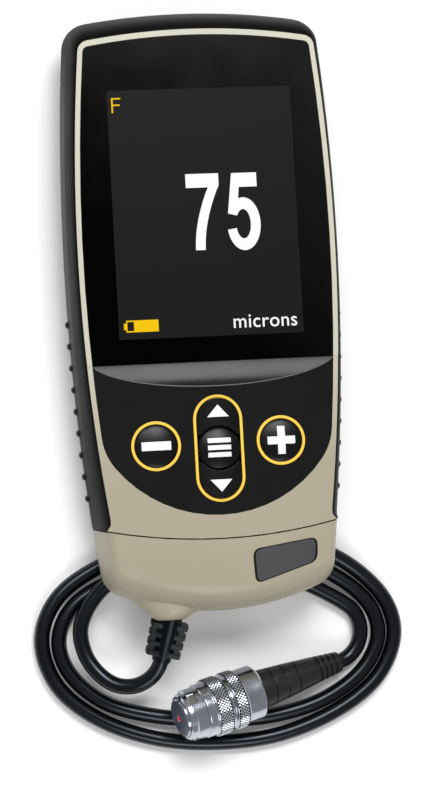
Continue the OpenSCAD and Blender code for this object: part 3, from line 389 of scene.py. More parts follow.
def moulded_grain():
    """Fine grain of a moulded surface, and a slow drift of its tone."""
    name = "Moulded Grain"
    if name in bpy.data.node_groups:
        return bpy.data.node_groups[name]
    group, start, end, place = group_of(
        name, [("Grain Scale", 2500.0), ("Drift Scale", DRIFT_SCALE)], ["Height", "Drift"])
    fine = group.nodes.new("ShaderNodeTexNoise")
    fine.inputs["Detail"].default_value = 3.0
    fine.inputs["Roughness"].default_value = 0.6
    slow = group.nodes.new("ShaderNodeTexNoise")
    slow.inputs["Detail"].default_value = 2.0
    links = group.links
    links.new(place.outputs["Object"], fine.inputs["Vector"])
    links.new(place.outputs["Object"], slow.inputs["Vector"])
    links.new(start.outputs["Grain Scale"], fine.inputs["Scale"])
    links.new(start.outputs["Drift Scale"], slow.inputs["Scale"])
    links.new(fine.outputs["Fac"], end.inputs["Height"])
    links.new(slow.outputs["Fac"], end.inputs["Drift"])
    return group


def turned_lines():
    """Fine rings left by a lathe round the probe's axis, and the distance from that axis."""
    name = "Turned Lines"
    if name in bpy.data.node_groups:
        return bpy.data.node_groups[name]
    group, start, end, place = group_of(name, [("Lines", 900.0)], ["Height", "Streak", "Reach"])
    turn = group.nodes.new("ShaderNodeMapping")
    turn.vector_type = "TEXTURE"
    turn.inputs["Location"].default_value = PROBE_TIP * MM
    turn.inputs["Rotation"].default_value = (0, math.radians(90 + PROBE_DIP), math.radians(PROBE_YAW))
    lines = group.nodes.new("ShaderNodeTexWave")
    lines.wave_type = "BANDS"
    lines.bands_direction = "Z"
    lines.inputs["Distortion"].default_value = 1.5
    lines.inputs["Detail"].default_value = 2.0
    streak = group.nodes.new("ShaderNodeTexNoise")
    streak.inputs["Scale"].default_value = 350.0
    streak.inputs["Detail"].default_value = 2.0
    links = group.links
    links.new(place.outputs["Object"], turn.inputs["Vector"])
    links.new(turn.outputs["Vector"], lines.inputs["Vector"])
    links.new(turn.outputs["Vector"], streak.inputs["Vector"])
    links.new(start.outputs["Lines"], lines.inputs["Scale"])
    links.new(lines.outputs["Fac"], end.inputs["Height"])
    links.new(streak.outputs["Fac"], end.inputs["Streak"])
    across = group.nodes.new("ShaderNodeVectorMath")
    across.operation = "MULTIPLY"
    across.inputs[1].default_value = (1, 1, 0)
    reach = group.nodes.new("ShaderNodeVectorMath")
    reach.operation = "LENGTH"
    links.new(turn.outputs["Vector"], across.inputs[0])
    links.new(across.outputs["Vector"], reach.inputs[0])
    links.new(reach.outputs["Value"], end.inputs["Reach"])
    return group


# Finishes


def new_finish(name):
    material = bpy.data.materials.new(name)
    material.use_nodes = True
    tree = material.node_tree
    return material, tree.nodes, tree.links, tree.nodes["Principled BSDF"]


def colour_mix(nodes, links, factor, high):
    mix = nodes.new("ShaderNodeMix")
    mix.data_type = "RGBA"
    mix.inputs[MIX_HIGH].default_value = (*high, 1)
    links.new(factor, mix.inputs[MIX_FACTOR])
    return mix


def mixed_colour(nodes, links, factor, low, high):
    mix = colour_mix(nodes, links, factor, high)
    mix.inputs[MIX_LOW].default_value = (*low, 1)
    return mix.outputs[MIX_RESULT]


def ranged(nodes, links, value, low, high, start=0.3, end=0.7):
    span = nodes.new("ShaderNodeMapRange")
    span.inputs["From Min"].default_value = start
    span.inputs["From Max"].default_value = end
    span.inputs["To Min"].default_value = low
    span.inputs["To Max"].default_value = high
    links.new(value, span.inputs["Value"])
    return span.outputs["Result"]


def tinted(colour, gain):
    return tuple(min(1.0, c * gain) for c in colour)


def bumped(nodes, links, shader, height, strength, depth):
    """Turns a height into the shader's normal; the depth is in millimetres."""
    bump = nodes.new("ShaderNodeBump")
    bump.inputs["Strength"].default_value = strength
    bump.inputs["Distance"].default_value = depth * MM
    links.new(height, bump.inputs["Height"])
    links.new(bump.outputs["Normal"], shader.inputs["Normal"])


def object_place(nodes):
    return nodes.new("ShaderNodeTexCoord").outputs["Object"]


def parts_of(nodes, links, place):
    """The three parts of a place, by their letters."""
    split = nodes.new("ShaderNodeSeparateXYZ")
    links.new(place, split.inputs["Vector"])
    return split.outputs


def noise(nodes, links, place, scale):
    cloud = nodes.new("ShaderNodeTexNoise")
    cloud.inputs["Scale"].default_value = scale
    links.new(place, cloud.inputs["Vector"])
    return cloud.outputs["Fac"]


def moulded(name, colour, rough, grain, depth, strength, drift, specular=0.5):
    """A moulded plastic or rubber: tone drift, roughness and grain follow the surface."""
    material, nodes, links, shader = new_finish(name)
    effect = nodes.new("ShaderNodeGroup")
    effect.node_tree = moulded_grain()
    effect.inputs["Grain Scale"].default_value = grain
    effect.inputs["Drift Scale"].default_value = DRIFT_SCALE
    tone = mixed_colour(
        nodes, links, effect.outputs["Drift"], tinted(colour, 1 - drift), tinted(colour, 1 + drift))
    links.new(tone, shader.inputs["Base Color"])
    spread = ranged(nodes, links, effect.outputs["Drift"], rough - ROUGH_DRIFT, rough + ROUGH_DRIFT)
    links.new(spread, shader.inputs["Roughness"])
    bumped(nodes, links, shader, effect.outputs["Height"], strength, depth)
    shader.inputs["Specular IOR Level"].default_value = specular
    return material


def blend_along(material, axis, start, end, colour):
    """Blends a finish's base colour into another between two places on an axis."""
    nodes, links = material.node_tree.nodes, material.node_tree.links
    shader = nodes["Principled BSDF"]
    parts = parts_of(nodes, links, object_place(nodes))
    fade = ranged(nodes, links, parts[axis], 0.0, 1.0, start, end)
    mix = colour_mix(nodes, links, fade, colour)
    links.new(shader.inputs["Base Color"].links[0].from_socket, mix.inputs[MIX_LOW])
    links.new(mix.outputs[MIX_RESULT], shader.inputs["Base Color"])


# Roughness, grain and tone drift of the beige housing
BEIGE_GRAIN = (0.42, 2600, 0.008, 0.25, 0.03)


def bezel_finish(name, colour, rim):
    """The housing's beige, which turns lighter towards the rim round the window."""
    material = moulded(name, colour, *BEIGE_GRAIN)
    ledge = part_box("display_window")[0].y
    blend_along(material, "Y", ledge - 24 * MM, ledge + 2 * MM, rim)
    return material


def armour_finish(name, colour):
    """Rubber with painted light: its side walls are painted far lighter than its rolled front, a painted
    reflection of the pale floor. It also turns lighter towards its lower end and back to its own grey at its
    upper end.
    """
    material = moulded(name, colour, 0.46, 3200, 0.012, 0.35, 0.1, 0.05)
    low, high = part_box("rubber_armour")
    rise = high.z - low.z
    # Painted reflection of the pale floor: the low side walls are painted far lighter than the rolled front
    blend_along(material, "Z", low.z + 0.54 * rise, low.z + 0.42 * rise, tinted(colour, 17.0))
    # Lighter towards the lower end of the gauge, then plain grey again at its upper end
    blend_along(material, "Y", 10 * MM, -50 * MM, tinted(colour, 2.0))
    blend_along(material, "Y", 50 * MM, 64 * MM, colour)
    return material


def turned_metal(name, colour, rough, strength):
    """Lathe-turned metal round the probe's axis."""
    material, nodes, links, shader = new_finish(name)
    effect = nodes.new("ShaderNodeGroup")
    effect.node_tree = turned_lines()
    effect.inputs["Lines"].default_value = 1400.0
    tone = mixed_colour(nodes, links, effect.outputs["Streak"], tinted(colour, 0.9), tinted(colour, 1.08))
    links.new(tone, shader.inputs["Base Color"])
    spread = ranged(nodes, links, effect.outputs["Streak"], rough - 0.04, rough + 0.06)
    links.new(spread, shader.inputs["Roughness"])
    bumped(nodes, links, shader, effect.outputs["Height"], strength, 0.01)
    shader.inputs["Metallic"].default_value = 1.0
    return material


def knurled_metal(name, colour, rough):
    """Chromed knurling with painted shade: the grooves are painted dark and the points keep the bright
    chrome.
    """
    material = turned_metal(name, colour, rough, 0.12)
    nodes, links = material.node_tree.nodes, material.node_tree.links
    shader = nodes["Principled BSDF"]
    effect = next(node for node in nodes if node.type == "GROUP")
    low = (KNURL_RADIUS + KNURL_PAINTED_SHADE_TO) * MM
    high = (KNURL_RADIUS + KNURL_BRIGHT_FROM) * MM
    # Painted shade: the knurl's colour darkens towards the bottom of its grooves
    rise = ranged(nodes, links, effect.outputs["Reach"], 0.0, 1.0, low, high)
    tone = mixed_colour(nodes, links, rise, tinted(colour, 0.07), colour)
    links.new(tone, shader.inputs["Base Color"])
    return material


def lit(name, colour, strength):
    """A lit part of the screen, with the faint grid of its picture points."""
    material, nodes, links, shader = new_finish(name)
    grid = nodes.new("ShaderNodeTexChecker")
    grid.inputs["Scale"].default_value = 5500.0
    grid.inputs["Color1"].default_value = (*tinted(colour, 0.97), 1)
    grid.inputs["Color2"].default_value = (*colour, 1)
    links.new(object_place(nodes), grid.inputs["Vector"])
    links.new(grid.outputs["Color"], shader.inputs["Emission Color"])
    shader.inputs["Emission Strength"].default_value = strength
    shader.inputs["Base Color"].default_value = (0.003, 0.003, 0.003, 1)
    shader.inputs["Roughness"].default_value = 0.3
    shader.inputs["Specular IOR Level"].default_value = 0.04
    return material


def window_finish(name):
    """Smoked window: deep black, with a painted reflection that makes it a little lighter towards the upper
    right.
    """
    material, nodes, links, shader = new_finish(name)
    place = object_place(nodes)
    parts = parts_of(nodes, links, place)
    # Painted reflection: the colour turns lighter across and along the window, towards its upper right
    across = ranged(nodes, links, parts["X"], -0.2, 0.4, -0.03, 0.03)
    along = ranged(nodes, links, parts["Y"], -0.2, 0.6, -0.012, 0.066)
    total = nodes.new("ShaderNodeMath")
    total.operation = "ADD"
    links.new(across, total.inputs[0])
    links.new(along, total.inputs[1])
    tone = mixed_colour(
        nodes, links, total.outputs["Value"], (0.0002, 0.0002, 0.0003), (0.0105, 0.0107, 0.0107))
    links.new(tone, shader.inputs["Base Color"])
    dust = noise(nodes, links, place, 120.0)
    links.new(ranged(nodes, links, dust, 0.1, 0.16), shader.inputs["Roughness"])
    shader.inputs["Specular IOR Level"].default_value = 0.04
    return material


def bluish_rubber(name, colour, rough, specular):
    """Black rubber of the cable and its finned boot, with a bluish sheen."""
    material = moulded(name, colour, rough, 2800, 0.008, 0.3, 0.12, specular)
    shader = material.node_tree.nodes["Principled BSDF"]
    shader.inputs["Specular Tint"].default_value = (0.78, 0.88, 1.0, 1)
    return material


def ruby_finish(name, colour):
    """Polished red jewel with a faint cloud of lighter red and a faint painted glow."""
    material, nodes, links, shader = new_finish(name)
    cloud = noise(nodes, links, object_place(nodes), 900.0)
    tone = mixed_colour(nodes, links, cloud, tinted(colour, 0.8), tinted(colour, 1.3))
    links.new(tone, shader.inputs["Base Color"])
    # Painted glow: the jewel gives off faint light in its own red
    links.new(tone, shader.inputs["Emission Color"])
    shader.inputs["Emission Strength"].default_value = 0.12
    shader.inputs["Roughness"].default_value = 0.08
    shader.inputs["Coat Weight"].default_value = 1.0
    return material


# Colour, roughness, grain scale, grain depth in millimetres, grain strength, tone drift, specular level
MOULDED = {
    "nub_rubber": ((0.002, 0.002, 0.0021), 0.28, 3200, 0.006, 0.2, 0.1, 0.35),
    "moulded_back": ((0.022, 0.022, 0.023), 0.55, 1800, 0.03, 0.5, 0.08),
    "keypad_film": ((0.0082, 0.0082, 0.0083), 0.2, 3000, 0.004, 0.2, 0.08, 0.15),
    # Light grey bead along the sill: a painted highlight on the black film's edge
    "painted_highlight_bead": ((0.1, 0.1, 0.101), 0.3, 3000, 0.004, 0.2, 0.08, 0.5),
    "probe_sleeve": ((0.011, 0.0113, 0.0118), 0.42, 2600, 0.014, 0.4, 0.1, 0.35),
    "key_rubber": ((0.003, 0.003, 0.0031), 0.3, 3000, 0.004, 0.2, 0.08, 0.22),
    "badge_face": ((0.046, 0.045, 0.048), 0.4, 2200, 0.01, 0.3, 0.08),
    "badge_edge": ((0.004, 0.004, 0.0042), 0.4, 2200, 0.01, 0.3, 0.08, 0.2),
    "dark_face": ((0.04, 0.052, 0.085), 0.32, 2600, 0.005, 0.2, 0.1, 0.6),
    "gasket_rubber": ((0.12, 0.12, 0.125), 0.6, 2200, 0.02, 0.4, 0.08),
    "cell_sleeve": ((0.5, 0.34, 0.05), 0.35, 2200, 0.004, 0.2, 0.08),
    "board_mask": ((0.02, 0.11, 0.04), 0.4, 1200, 0.01, 0.3, 0.12),
    "inner_plastic": ((0.02, 0.02, 0.021), 0.5, 2200, 0.01, 0.3, 0.08),
    "white_moulding": ((0.72, 0.72, 0.7), 0.5, 2200, 0.01, 0.3, 0.04),
}

# Colour, roughness and strength of the turned lines
TURNED = {
    "turned_chrome": ((0.51, 0.54, 0.6), 0.17, 0.12),
    "steel": ((0.5, 0.5, 0.51), 0.3, 0.2),
    "wound_copper": ((0.62, 0.3, 0.14), 0.3, 0.3),
}


def finish(name):
    """The shared finish of that name, made when it is first asked for."""
    if name in bpy.data.materials:
        return bpy.data.materials[name]
    if name in MOULDED:
        return moulded(name, *MOULDED[name])
    if name in TURNED:
        return turned_metal(name, *TURNED[name])
    c = colours()
    makers = {
        "beige_housing": lambda: moulded(name, c.housing, *BEIGE_GRAIN),
        "beige_bezel": lambda: bezel_finish(name, c.housing, c.rim),
        "grip_rubber": lambda: armour_finish(name, c.armour),
        "ring_paint": lambda: moulded(name, c.ring, 0.35, 3000, 0.004, 0.2, 0.04),
        "sign_ink": lambda: moulded(name, c.sign, 0.45, 3000, 0.004, 0.2, 0.02),
        "cable_jacket": lambda: bluish_rubber(name, c.cable, 0.26, 0.42),
        "boot_rubber": lambda: bluish_rubber(name, (0.001, 0.0013, 0.0019), 0.3, 0.18),
        "knurled_chrome": lambda: knurled_metal(name, (0.82, 0.86, 0.93), 0.24),
        "screen_dark": lambda: lit(name, c.screen, 0.75),
        "screen_white": lambda: lit(name, (1.0, 1.0, 1.0), 1.0),
        "screen_yellow": lambda: lit(name, c.alert, 0.95),
        "smoked_window": lambda: window_finish(name),
        "ruby_jewel": lambda: ruby_finish(name, c.ruby),
    }
    return makers[name]()


# Housing


def dark_nubs(armour):
    """Gives the grip nubs a blacker, glossier rubber than the walls they stand on."""
    armour.data.materials.append(finish("nub_rubber"))
    low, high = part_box("rubber_armour")
    lowest, highest = NUB_SHARES
    for face in armour.data.polygons:
        share = (face.center.z - low.z) / (high.z - low.z)
        along = face.center.y / MM - NUB_FOOT
        step = round(along / NUB_PITCH)
        near = abs(along - NUB_PITCH * step) < NUB_HALF
        if near and 0 <= step < NUB_COUNT and lowest < share < highest:
            face.material_index = 1


class GAUGE_OT_housing(bpy.types.Operator):
    """Dress the bezel, the armour, the back cover and what holds them"""

    bl_idname = "gauge.housing"
    bl_label = "Housing"

    def execute(self, context):
        dressed("front_bezel", finish("beige_bezel"), 35, 0.22, 3)
        dark_nubs(dressed("rubber_armour", finish("grip_rubber"), 50))
        dressed("back_cover", finish("moulded_back"), 32)
        dressed("battery_door", finish("moulded_back"), 32, 0.15, 2)
        for node in ("case_screws", "door_screws"):
            dressed(node, finish("steel"), 32)
        for node in ("case_gasket", "door_gasket"):
            dressed(node, finish("gasket_rubber"), 32)
        return {"FINISHED"}


class GAUGE_OT_inside(bpy.types.Operator):
    """Dress what lies inside the housing"""

    bl_idname = "gauge.inside"
    bl_label = "Inside"

    def execute(self, context):
        wear = {
            "battery_1": "cell_sleeve", "battery_2": "cell_sleeve", "battery_3": "cell_sleeve",
            "battery_contacts": "steel", "snap_domes": "steel", "main_board": "board_mask",
            "beeper": "inner_plastic", "probe_socket": "inner_plastic", "lcd_frame": "white_moulding",
            "lcd_panel": "inner_plastic", "keymat": "gasket_rubber", "probe_plug": "inner_plastic",
            "sensor_coil": "wound_copper",
        }
        for node, name in wear.items():
            dressed(node, finish(name), 35)
        self.spring(dressed("probe_spring", finish("steel"), 35))
        return {"FINISHED"}

    def spring(self, piece):
        """Gives the return spring a mesh of its own."""
        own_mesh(piece)


# Display


def flat_shape(name, outlines, z, material, body="housing"):
    """A flat print bounded by closed outlines in millimetres; later outlines cut holes."""
    curve = bpy.data.curves.new(name, "CURVE")
    curve.dimensions = "2D"
    curve.fill_mode = "BOTH"
    for points in outlines:
        line = curve.splines.new("POLY")
        line.points.add(len(points) - 1)
        for point, (x, y) in zip(line.points, points):
            point.co = (x * MM, y * MM, 0, 1)
        line.use_cyclic_u = True
    piece = linked(name, curve)
    select_only(piece)
    bpy.ops.object.convert(target="MESH")
    piece = bpy.context.view_layer.objects.active
    edit(piece)
    bpy.ops.mesh.remove_doubles(threshold=PRINT_MERGE * MM)
    bpy.ops.mesh.normals_make_consistent(inside=False)
    leave_edit()
    piece.location.z = z
    settle(piece)
    paint(piece, material)
    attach(piece, body)
    return piece


def box_outline(x0, y0, x1, y1):
    return [(x0, y0), (x1, y0), (x1, y1), (x0, y1)]


def rounded_outline(x0, y0, x1, y1, r, steps=5):
    points = []
    middles = ((x1 - r, y1 - r), (x0 + r, y1 - r), (x0 + r, y0 + r), (x1 - r, y0 + r))
    for quarter, (x, y) in enumerate(middles):
        points += sweep(x, y, r, r, 90 * quarter, 90 * quarter + 90, steps)
    return points


def sweep(cx, cy, rx, ry, start, end, steps):
    """Points on an arc of an ellipse, from one angle to another."""
    turns = [math.radians(start + (end - start) * i / steps) for i in range(steps + 1)]
    return [(cx + rx * math.cos(t), cy + ry * math.sin(t)) for t in turns]


class GAUGE_OT_display(bpy.types.Operator):
    """Dress the window and light the screen behind it"""

    bl_idname = "gauge.display"
    bl_label = "Display"

    def execute(self, context):
        dressed("display_window", finish("smoked_window"), 30, 0.12, 2)
        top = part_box("display_window")[1].z
        s = sizes()
        half_w = s.screen_w / MM / 2
        middle = s.screen_y / MM
        half_len = s.screen_len / MM / 2
        flat_shape(
            "screen_field", [rounded_outline(-half_w, middle - half_len, half_w, middle + half_len, 0.3)],
            top + FIELD_LIFT * MM, finish("screen_dark"))
        ink = top + INK_LIFT * MM
        self.seven(ink)
        self.five(ink)
        self.letter(ink)
        self.battery(ink)
        self.unit(ink)
        return {"FINISHED"}

    def seven(self, z):
        steps = [i / 14 for i in range(15)]
        swings = [math.sin(1.571 * t) ** 0.9 for t in steps]
        leg_outer = [(3.53 - 3.9 * swing, 29.2 - 15.25 * t) for t, swing in zip(steps, swings)]
        leg_inner = [(-2.7 + 3.64 * (1 - swing), 28.8 - 14.85 * t) for t, swing in zip(steps, swings)]
        points = [(-4.35, 32.1), (3.53, 32.1)] + leg_outer + leg_inner[::-1] + [(-4.35, 28.8)]
        flat_shape("digit_seven", [points], z, finish("screen_white"))

    def five(self, z):
        bowl_outer = sweep(9.1, 19.85, 4.0, 6.3, 108, -168, 40)
        bowl_inner = sweep(9.0, 19.85, 1.75, 3.5, -164, 145, 34)
        points = [(6.65, 32.0), (12.65, 32.0), (12.65, 28.65), (8.3, 28.65), (8.0, 25.75)]
        points += bowl_outer + bowl_inner + [(5.4, 22.4)]
        flat_shape("digit_five", [points], z, finish("screen_white"))

    def letter(self, z):
        points = [
            (-21.0, 47.2), (-20.63, 47.2), (-20.63, 48.85), (-18.98, 48.85), (-18.98, 49.2), (-20.63, 49.2),
            (-20.63, 50.4), (-18.8, 50.4), (-18.8, 50.75), (-21.0, 50.75),
        ]
        flat_shape("letter_f", [points], z, finish("screen_yellow"))

    def battery(self, z):
        body = [
            (-12.58, -4.82), (-12.58, -2.02), (-20.25, -2.02), (-20.25, -2.7), (-20.8, -2.7), (-20.8, -4.2),
            (-20.25, -4.2), (-20.25, -4.82),
        ]
        hollow = box_outline(-19.98, -4.5, -18.42, -2.36)
        flat_shape("battery_sign", [body, hollow], z, finish("screen_yellow"))

    def unit(self, z):
        deselect_all()
        bpy.ops.object.text_add()
        piece = bpy.context.view_layer.objects.active
        piece.name = "unit_word"
        piece.data.body = "microns"
        piece.data.size = 4.2 * MM
        piece.data.offset = 0.02 * MM
        piece.data.space_character = 1.05
        select_only(piece)
        bpy.ops.object.convert(target="MESH")
        piece = bpy.context.view_layer.objects.active
        low = Vector([min(v.co[i] for v in piece.data.vertices) for i in range(3)])
        high = Vector([max(v.co[i] for v in piece.data.vertices) for i in range(3)])
        piece.scale.x = UNIT_SIZE[0] * MM / (high.x - low.x)
        piece.scale.y = UNIT_SIZE[1] * MM / (high.y - low.y)
        left = UNIT_CORNER[0] * MM - low.x * piece.scale.x
        foot = UNIT_CORNER[1] * MM - low.y * piece.scale.y
        piece.location = (left, foot, z)
        settle(piece)
        paint(piece, finish("screen_white"))
        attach(piece, "housing")


# Keypad


def printed_on(piece, under, proud):
    """Drops a flat print onto a key or the cap, follows its surface and gives the print thickness."""
    edit(piece)
    bpy.ops.mesh.quads_convert_to_tris()
    bpy.ops.mesh.subdivide(number_cuts=5)
    leave_edit()
    apply_modifier(
        piece, "SHRINKWRAP", target=under, wrap_method="PROJECT", use_project_z=True,
        use_negative_direction=True, use_positive_direction=True, offset=proud)
    apply_modifier(piece, "SOLIDIFY", thickness=2 * proud, offset=-1.0)
    smooth(piece, 40)


def true_normals(panel):
    """Gives the keypad panel the true normals of its crowned front and hollow sill, without facet streaks."""
    mesh = panel.data
    crown = CROWN_TOP - CROWN_RADIUS
    normals = [Vector(corner.vector) for corner in mesh.corner_normals]
    for face in mesh.polygons:
        face.use_smooth = True
        for index in face.loop_indices:
            place = mesh.vertices[mesh.loops[index].vertex_index].co / MM
            front = Vector((place.x, 0, place.z - crown)).normalized()
            hollow = Vector((0, SILL_AXIS[0] - place.y, SILL_AXIS[1] - place.z))
            on_front = abs(math.hypot(place.x, place.z - crown) - CROWN_RADIUS) < CROWN_SLACK
            on_sill = abs(hollow.length - SILL_RADIUS) < SILL_SLACK
            hollow.normalize()
            if on_front and face.normal.dot(front) > CROWN_MATCH:
                normals[index] = front
            elif on_sill and face.normal.dot(hollow) > SILL_MATCH:
                normals[index] = hollow
    mesh.normals_split_custom_set(normals)


class GAUGE_OT_keypad(bpy.types.Operator):
    """Dress the keypad, its rings and keys, and print the signs on the keys"""

    bl_idname = "gauge.keypad"
    bl_label = "Keypad"

    def execute(self, context):
        true_normals(dressed("keypad_panel", finish("keypad_film"), 12))
        self.sill_edge()
        dressed("key_rings", finish("ring_paint"), 35, 0.1, 2)
        keys = {}
        for node in ("minus_key", "plus_key", "up_key", "menu_key", "down_key"):
            keys[node] = dressed(node, finish("key_rubber"), 40, 0.14, 2)
        x, y = self.middle("minus_key")
        self.sign("minus_sign", "minus_key", keys, self.bar(x, y, *MINUS_HALF))
        x, y = self.middle("plus_key")
        self.sign("plus_sign", "plus_key", keys, self.cross(x, y, PLUS_REACH, PLUS_HALF))
        x, y = self.middle("menu_key")
        for row in (-1, 0, 1):
            bar = self.bar(x, y + MENU_PITCH * row + MENU_LIFT, *MENU_HALF)
            self.sign("menu_bar_%d" % (row + 2), "menu_key", keys, bar)
        foot = y + ARROW_PLACE - ARROW_FOOT
        tip = y + ARROW_PLACE + ARROW_TIP
        self.sign("up_sign", "up_key", keys, [(x - ARROW_HALF, foot), (x + ARROW_HALF, foot), (x, tip)])
        foot = y - ARROW_PLACE + ARROW_FOOT
        tip = y - ARROW_PLACE - ARROW_TIP
        self.sign("down_sign", "down_key", keys, [(x - ARROW_HALF, foot), (x, tip), (x + ARROW_HALF, foot)])
        return {"FINISHED"}

    def sill_edge(self):
        """The thin moulded bead where the hollow sill meets the crowned front, painted light grey as a
        painted highlight.
        """
        low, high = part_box("keypad_panel")
        left = low.x / MM + SILL_BEAD_INSET
        width = (high.x - low.x) / MM - 2 * SILL_BEAD_INSET
        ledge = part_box("display_window")[0].y / MM
        places = []
        for step in range(SILL_BEAD_STEPS + 1):
            x = left + width * step / SILL_BEAD_STEPS
            z = CROWN_TOP - CROWN_RADIUS + math.sqrt(CROWN_RADIUS ** 2 - x ** 2)
            y = SILL_AXIS[0] - math.sqrt(SILL_RADIUS ** 2 - (SILL_AXIS[1] - z) ** 2)
            if y < ledge - SILL_BEAD_CLEAR:
                places.append(Vector((x, y, z - SILL_BEAD_SINK)))
        piece = round_line("sill_edge", places, SILL_BEAD_RADIUS * MM, 3)
        select_only(piece)
        bpy.ops.object.convert(target="MESH")
        piece = bpy.context.view_layer.objects.active
        # Painted highlight: the bead is painted far lighter than the black film it edges
        paint(piece, finish("painted_highlight_bead"))
        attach(piece, "housing")

    def middle(self, node):
        low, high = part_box(node)
        return (low.x + high.x) / 2 / MM, (low.y + high.y) / 2 / MM

    def bar(self, x, y, half_w, half_h):
        return box_outline(x - half_w, y - half_h, x + half_w, y + half_h)

    def cross(self, x, y, reach, half):
        return [
            (x - half, y - reach), (x + half, y - reach), (x + half, y - half), (x + reach, y - half),
            (x + reach, y + half), (x + half, y + half), (x + half, y + reach), (x - half, y + reach),
            (x - half, y + half), (x - reach, y + half), (x - reach, y - half), (x - half, y - half),
        ]

    def sign(self, name, node, keys, outline):
        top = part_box(node)[1].z
        piece = flat_shape(
            name, [outline], top + SIGN_DROP * MM, finish("sign_ink"), body_of_node(node))
        printed_on(piece, keys[node], sizes().sign_proud)


# Probe cap and badge


class GAUGE_OT_probe_cap(bpy.types.Operator):
    """Dress the probe cap and set the bare badge on it"""

    bl_idname = "gauge.probe_cap"
    bl_label = "Probe cap"

    def execute(self, context):
        cap = dressed("probe_cap", finish("beige_housing"), 40)
        self.plate("badge_edge", BADGE_CORNERS, 2.0, 0.06, cap)
        self.plate("badge_face", self.shrunk(BADGE_CORNERS, BADGE_BORDER), 1.7, 0.1, cap)
        return {"FINISHED"}

    def shrunk(self, corners, by):
        """Corners of a smaller plate, each moved towards the middle."""
        middle = sum((Vector(corner) for corner in corners), Vector((0, 0))) / len(corners)
        moved = []
        for corner in corners:
            way = (middle - Vector(corner)).normalized()
            moved.append(tuple(Vector(corner) + way * by))
        return moved

    def plate(self, name, corners, r, proud, cap):
        """A thin plate with rounded corners that follows the cap, in the finish of its own name."""
        points = []
        count = len(corners)
        for i in range(count):
            here = Vector(corners[i])
            before = (Vector(corners[i - 1]) - here).normalized()
            after = (Vector(corners[(i + 1) % count]) - here).normalized()
            for step in range(CORNER_STEPS + 1):
                t = step / CORNER_STEPS
                points.append(tuple(here + before * r * (1 - t) ** 2 + after * r * t ** 2))
        piece = flat_shape(
            name, [points[::-1]], BADGE_DROP_Z * MM, finish(name), "probe_lead")
        printed_on(piece, cap, proud * MM)


# Cable and boots


def boot_heading():
    lean, droop = math.radians(BOOT_LEAN), math.radians(BOOT_DROOP)
    return Vector((-math.sin(lean) * math.cos(droop), -math.cos(lean) * math.cos(droop), -math.sin(droop)))


def probe_heading():
    yaw, dip = math.radians(PROBE_YAW), math.radians(PROBE_DIP)
    return Vector((math.cos(dip) * math.cos(yaw), math.cos(dip) * math.sin(yaw), -math.sin(dip)))


def cable_line(per_span):
    """Smooth points along the cable, straight out of each boot, in millimetres."""
    start = BOOT_BASE + BOOT_LENGTH * boot_heading()
    end = PROBE_TIP + PROBE_LENGTH * probe_heading()
    ways = [start] + [Vector(p) for p in CABLE_ROUTE] + [end]
    first = ways[1] - 2 * (ways[1] - ways[0]).length * boot_heading()
    last = ways[-2] - 2 * (ways[-1] - ways[-2]).length * probe_heading()
    ways = [first] + ways + [last]
    line = []
    for i in range(1, len(ways) - 2):
        a, b, c, d = ways[i - 1:i + 3]
        for step in range(per_span):
            t = step / per_span
            turn = 2 * a - 5 * b + 4 * c - d
            twist = 3 * b - a - 3 * c + d
            line.append(b + 0.5 * t * ((c - a) + t * (turn + t * twist)))
    line.append(end)
    return line


class GAUGE_OT_cable(bpy.types.Operator):
    """Lay the cable and dress its two boots"""

    bl_idname = "gauge.cable"
    bl_label = "Cable"

    def execute(self, context):
        line = cable_line(8)
        piece = round_line("cable_cord", line, sizes().cable_d / 2, 4)
        piece.data.use_fill_caps = True
        piece.data.materials.append(finish("cable_jacket"))
        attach(piece, "probe_lead")
        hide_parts("cable")
        boot = dressed("cable_boot", finish("boot_rubber"), 35, 0.16, 2)
        probe = [dressed("probe_boot", finish("probe_sleeve"), 32, 0.1, 2)]
        probe += dress_probe()
        return {"FINISHED"}


# Probe


def probe_matrix():
    yaw = Matrix.Rotation(math.radians(PROBE_YAW), 4, "Z")
    dip = Matrix.Rotation(math.radians(90 + PROBE_DIP), 4, "Y")
    return Matrix.Translation(PROBE_TIP * MM) @ (yaw @ dip)


def knurl_sleeve(name, start, end):
    """A sleeve of diamond points round the probe's axis, between two places along it in millimetres."""
    count = sizes().knurl_count
    rows = max(2, round((end - start) / (2 * math.pi * KNURL_RADIUS / count)))
    deselect_all()
    bpy.ops.mesh.primitive_cylinder_add(
        vertices=count, radius=KNURL_RADIUS * MM, depth=(end - start) * MM, end_fill_type="NOTHING",
        location=(0, 0, 0))
    piece = bpy.context.view_layer.objects.active
    piece.name = name
    points = piece.data.vertices
    upright = [
        e.index for e in piece.data.edges
        if abs(points[e.vertices[0]].co.z - points[e.vertices[1]].co.z) > 0.1 * MM]
    select_edges(piece, upright)
    bpy.ops.mesh.subdivide(number_cuts=rows - 1)
    leave_edit()
    corners = len(piece.data.vertices)
    edit(piece)
    bpy.ops.mesh.poke(offset=0.0)
    leave_edit()
    rim = (end - start) / 2 * MM - 0.05 * MM
    points = piece.data.vertices
    inner = [
        e.index for e in piece.data.edges
        if max(e.vertices) < corners and min(abs(points[v].co.z) for v in e.vertices) < rim]
    select_edges(piece, inner)
    bpy.ops.mesh.dissolve_edges(use_verts=False)
    bpy.ops.mesh.select_mode(type="FACE")
    bpy.ops.mesh.select_all(action="DESELECT")
    bpy.ops.mesh.select_face_by_sides(number=4)
    bpy.ops.mesh.poke(offset=sizes().knurl_deep)
    leave_edit()
    piece.matrix_world = probe_matrix() @ Matrix.Translation((0, 0, (start + end) / 2 * MM))
    settle(piece)
    paint(piece, finish("knurled_chrome"))
    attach(piece, "probe_lead")
    return piece


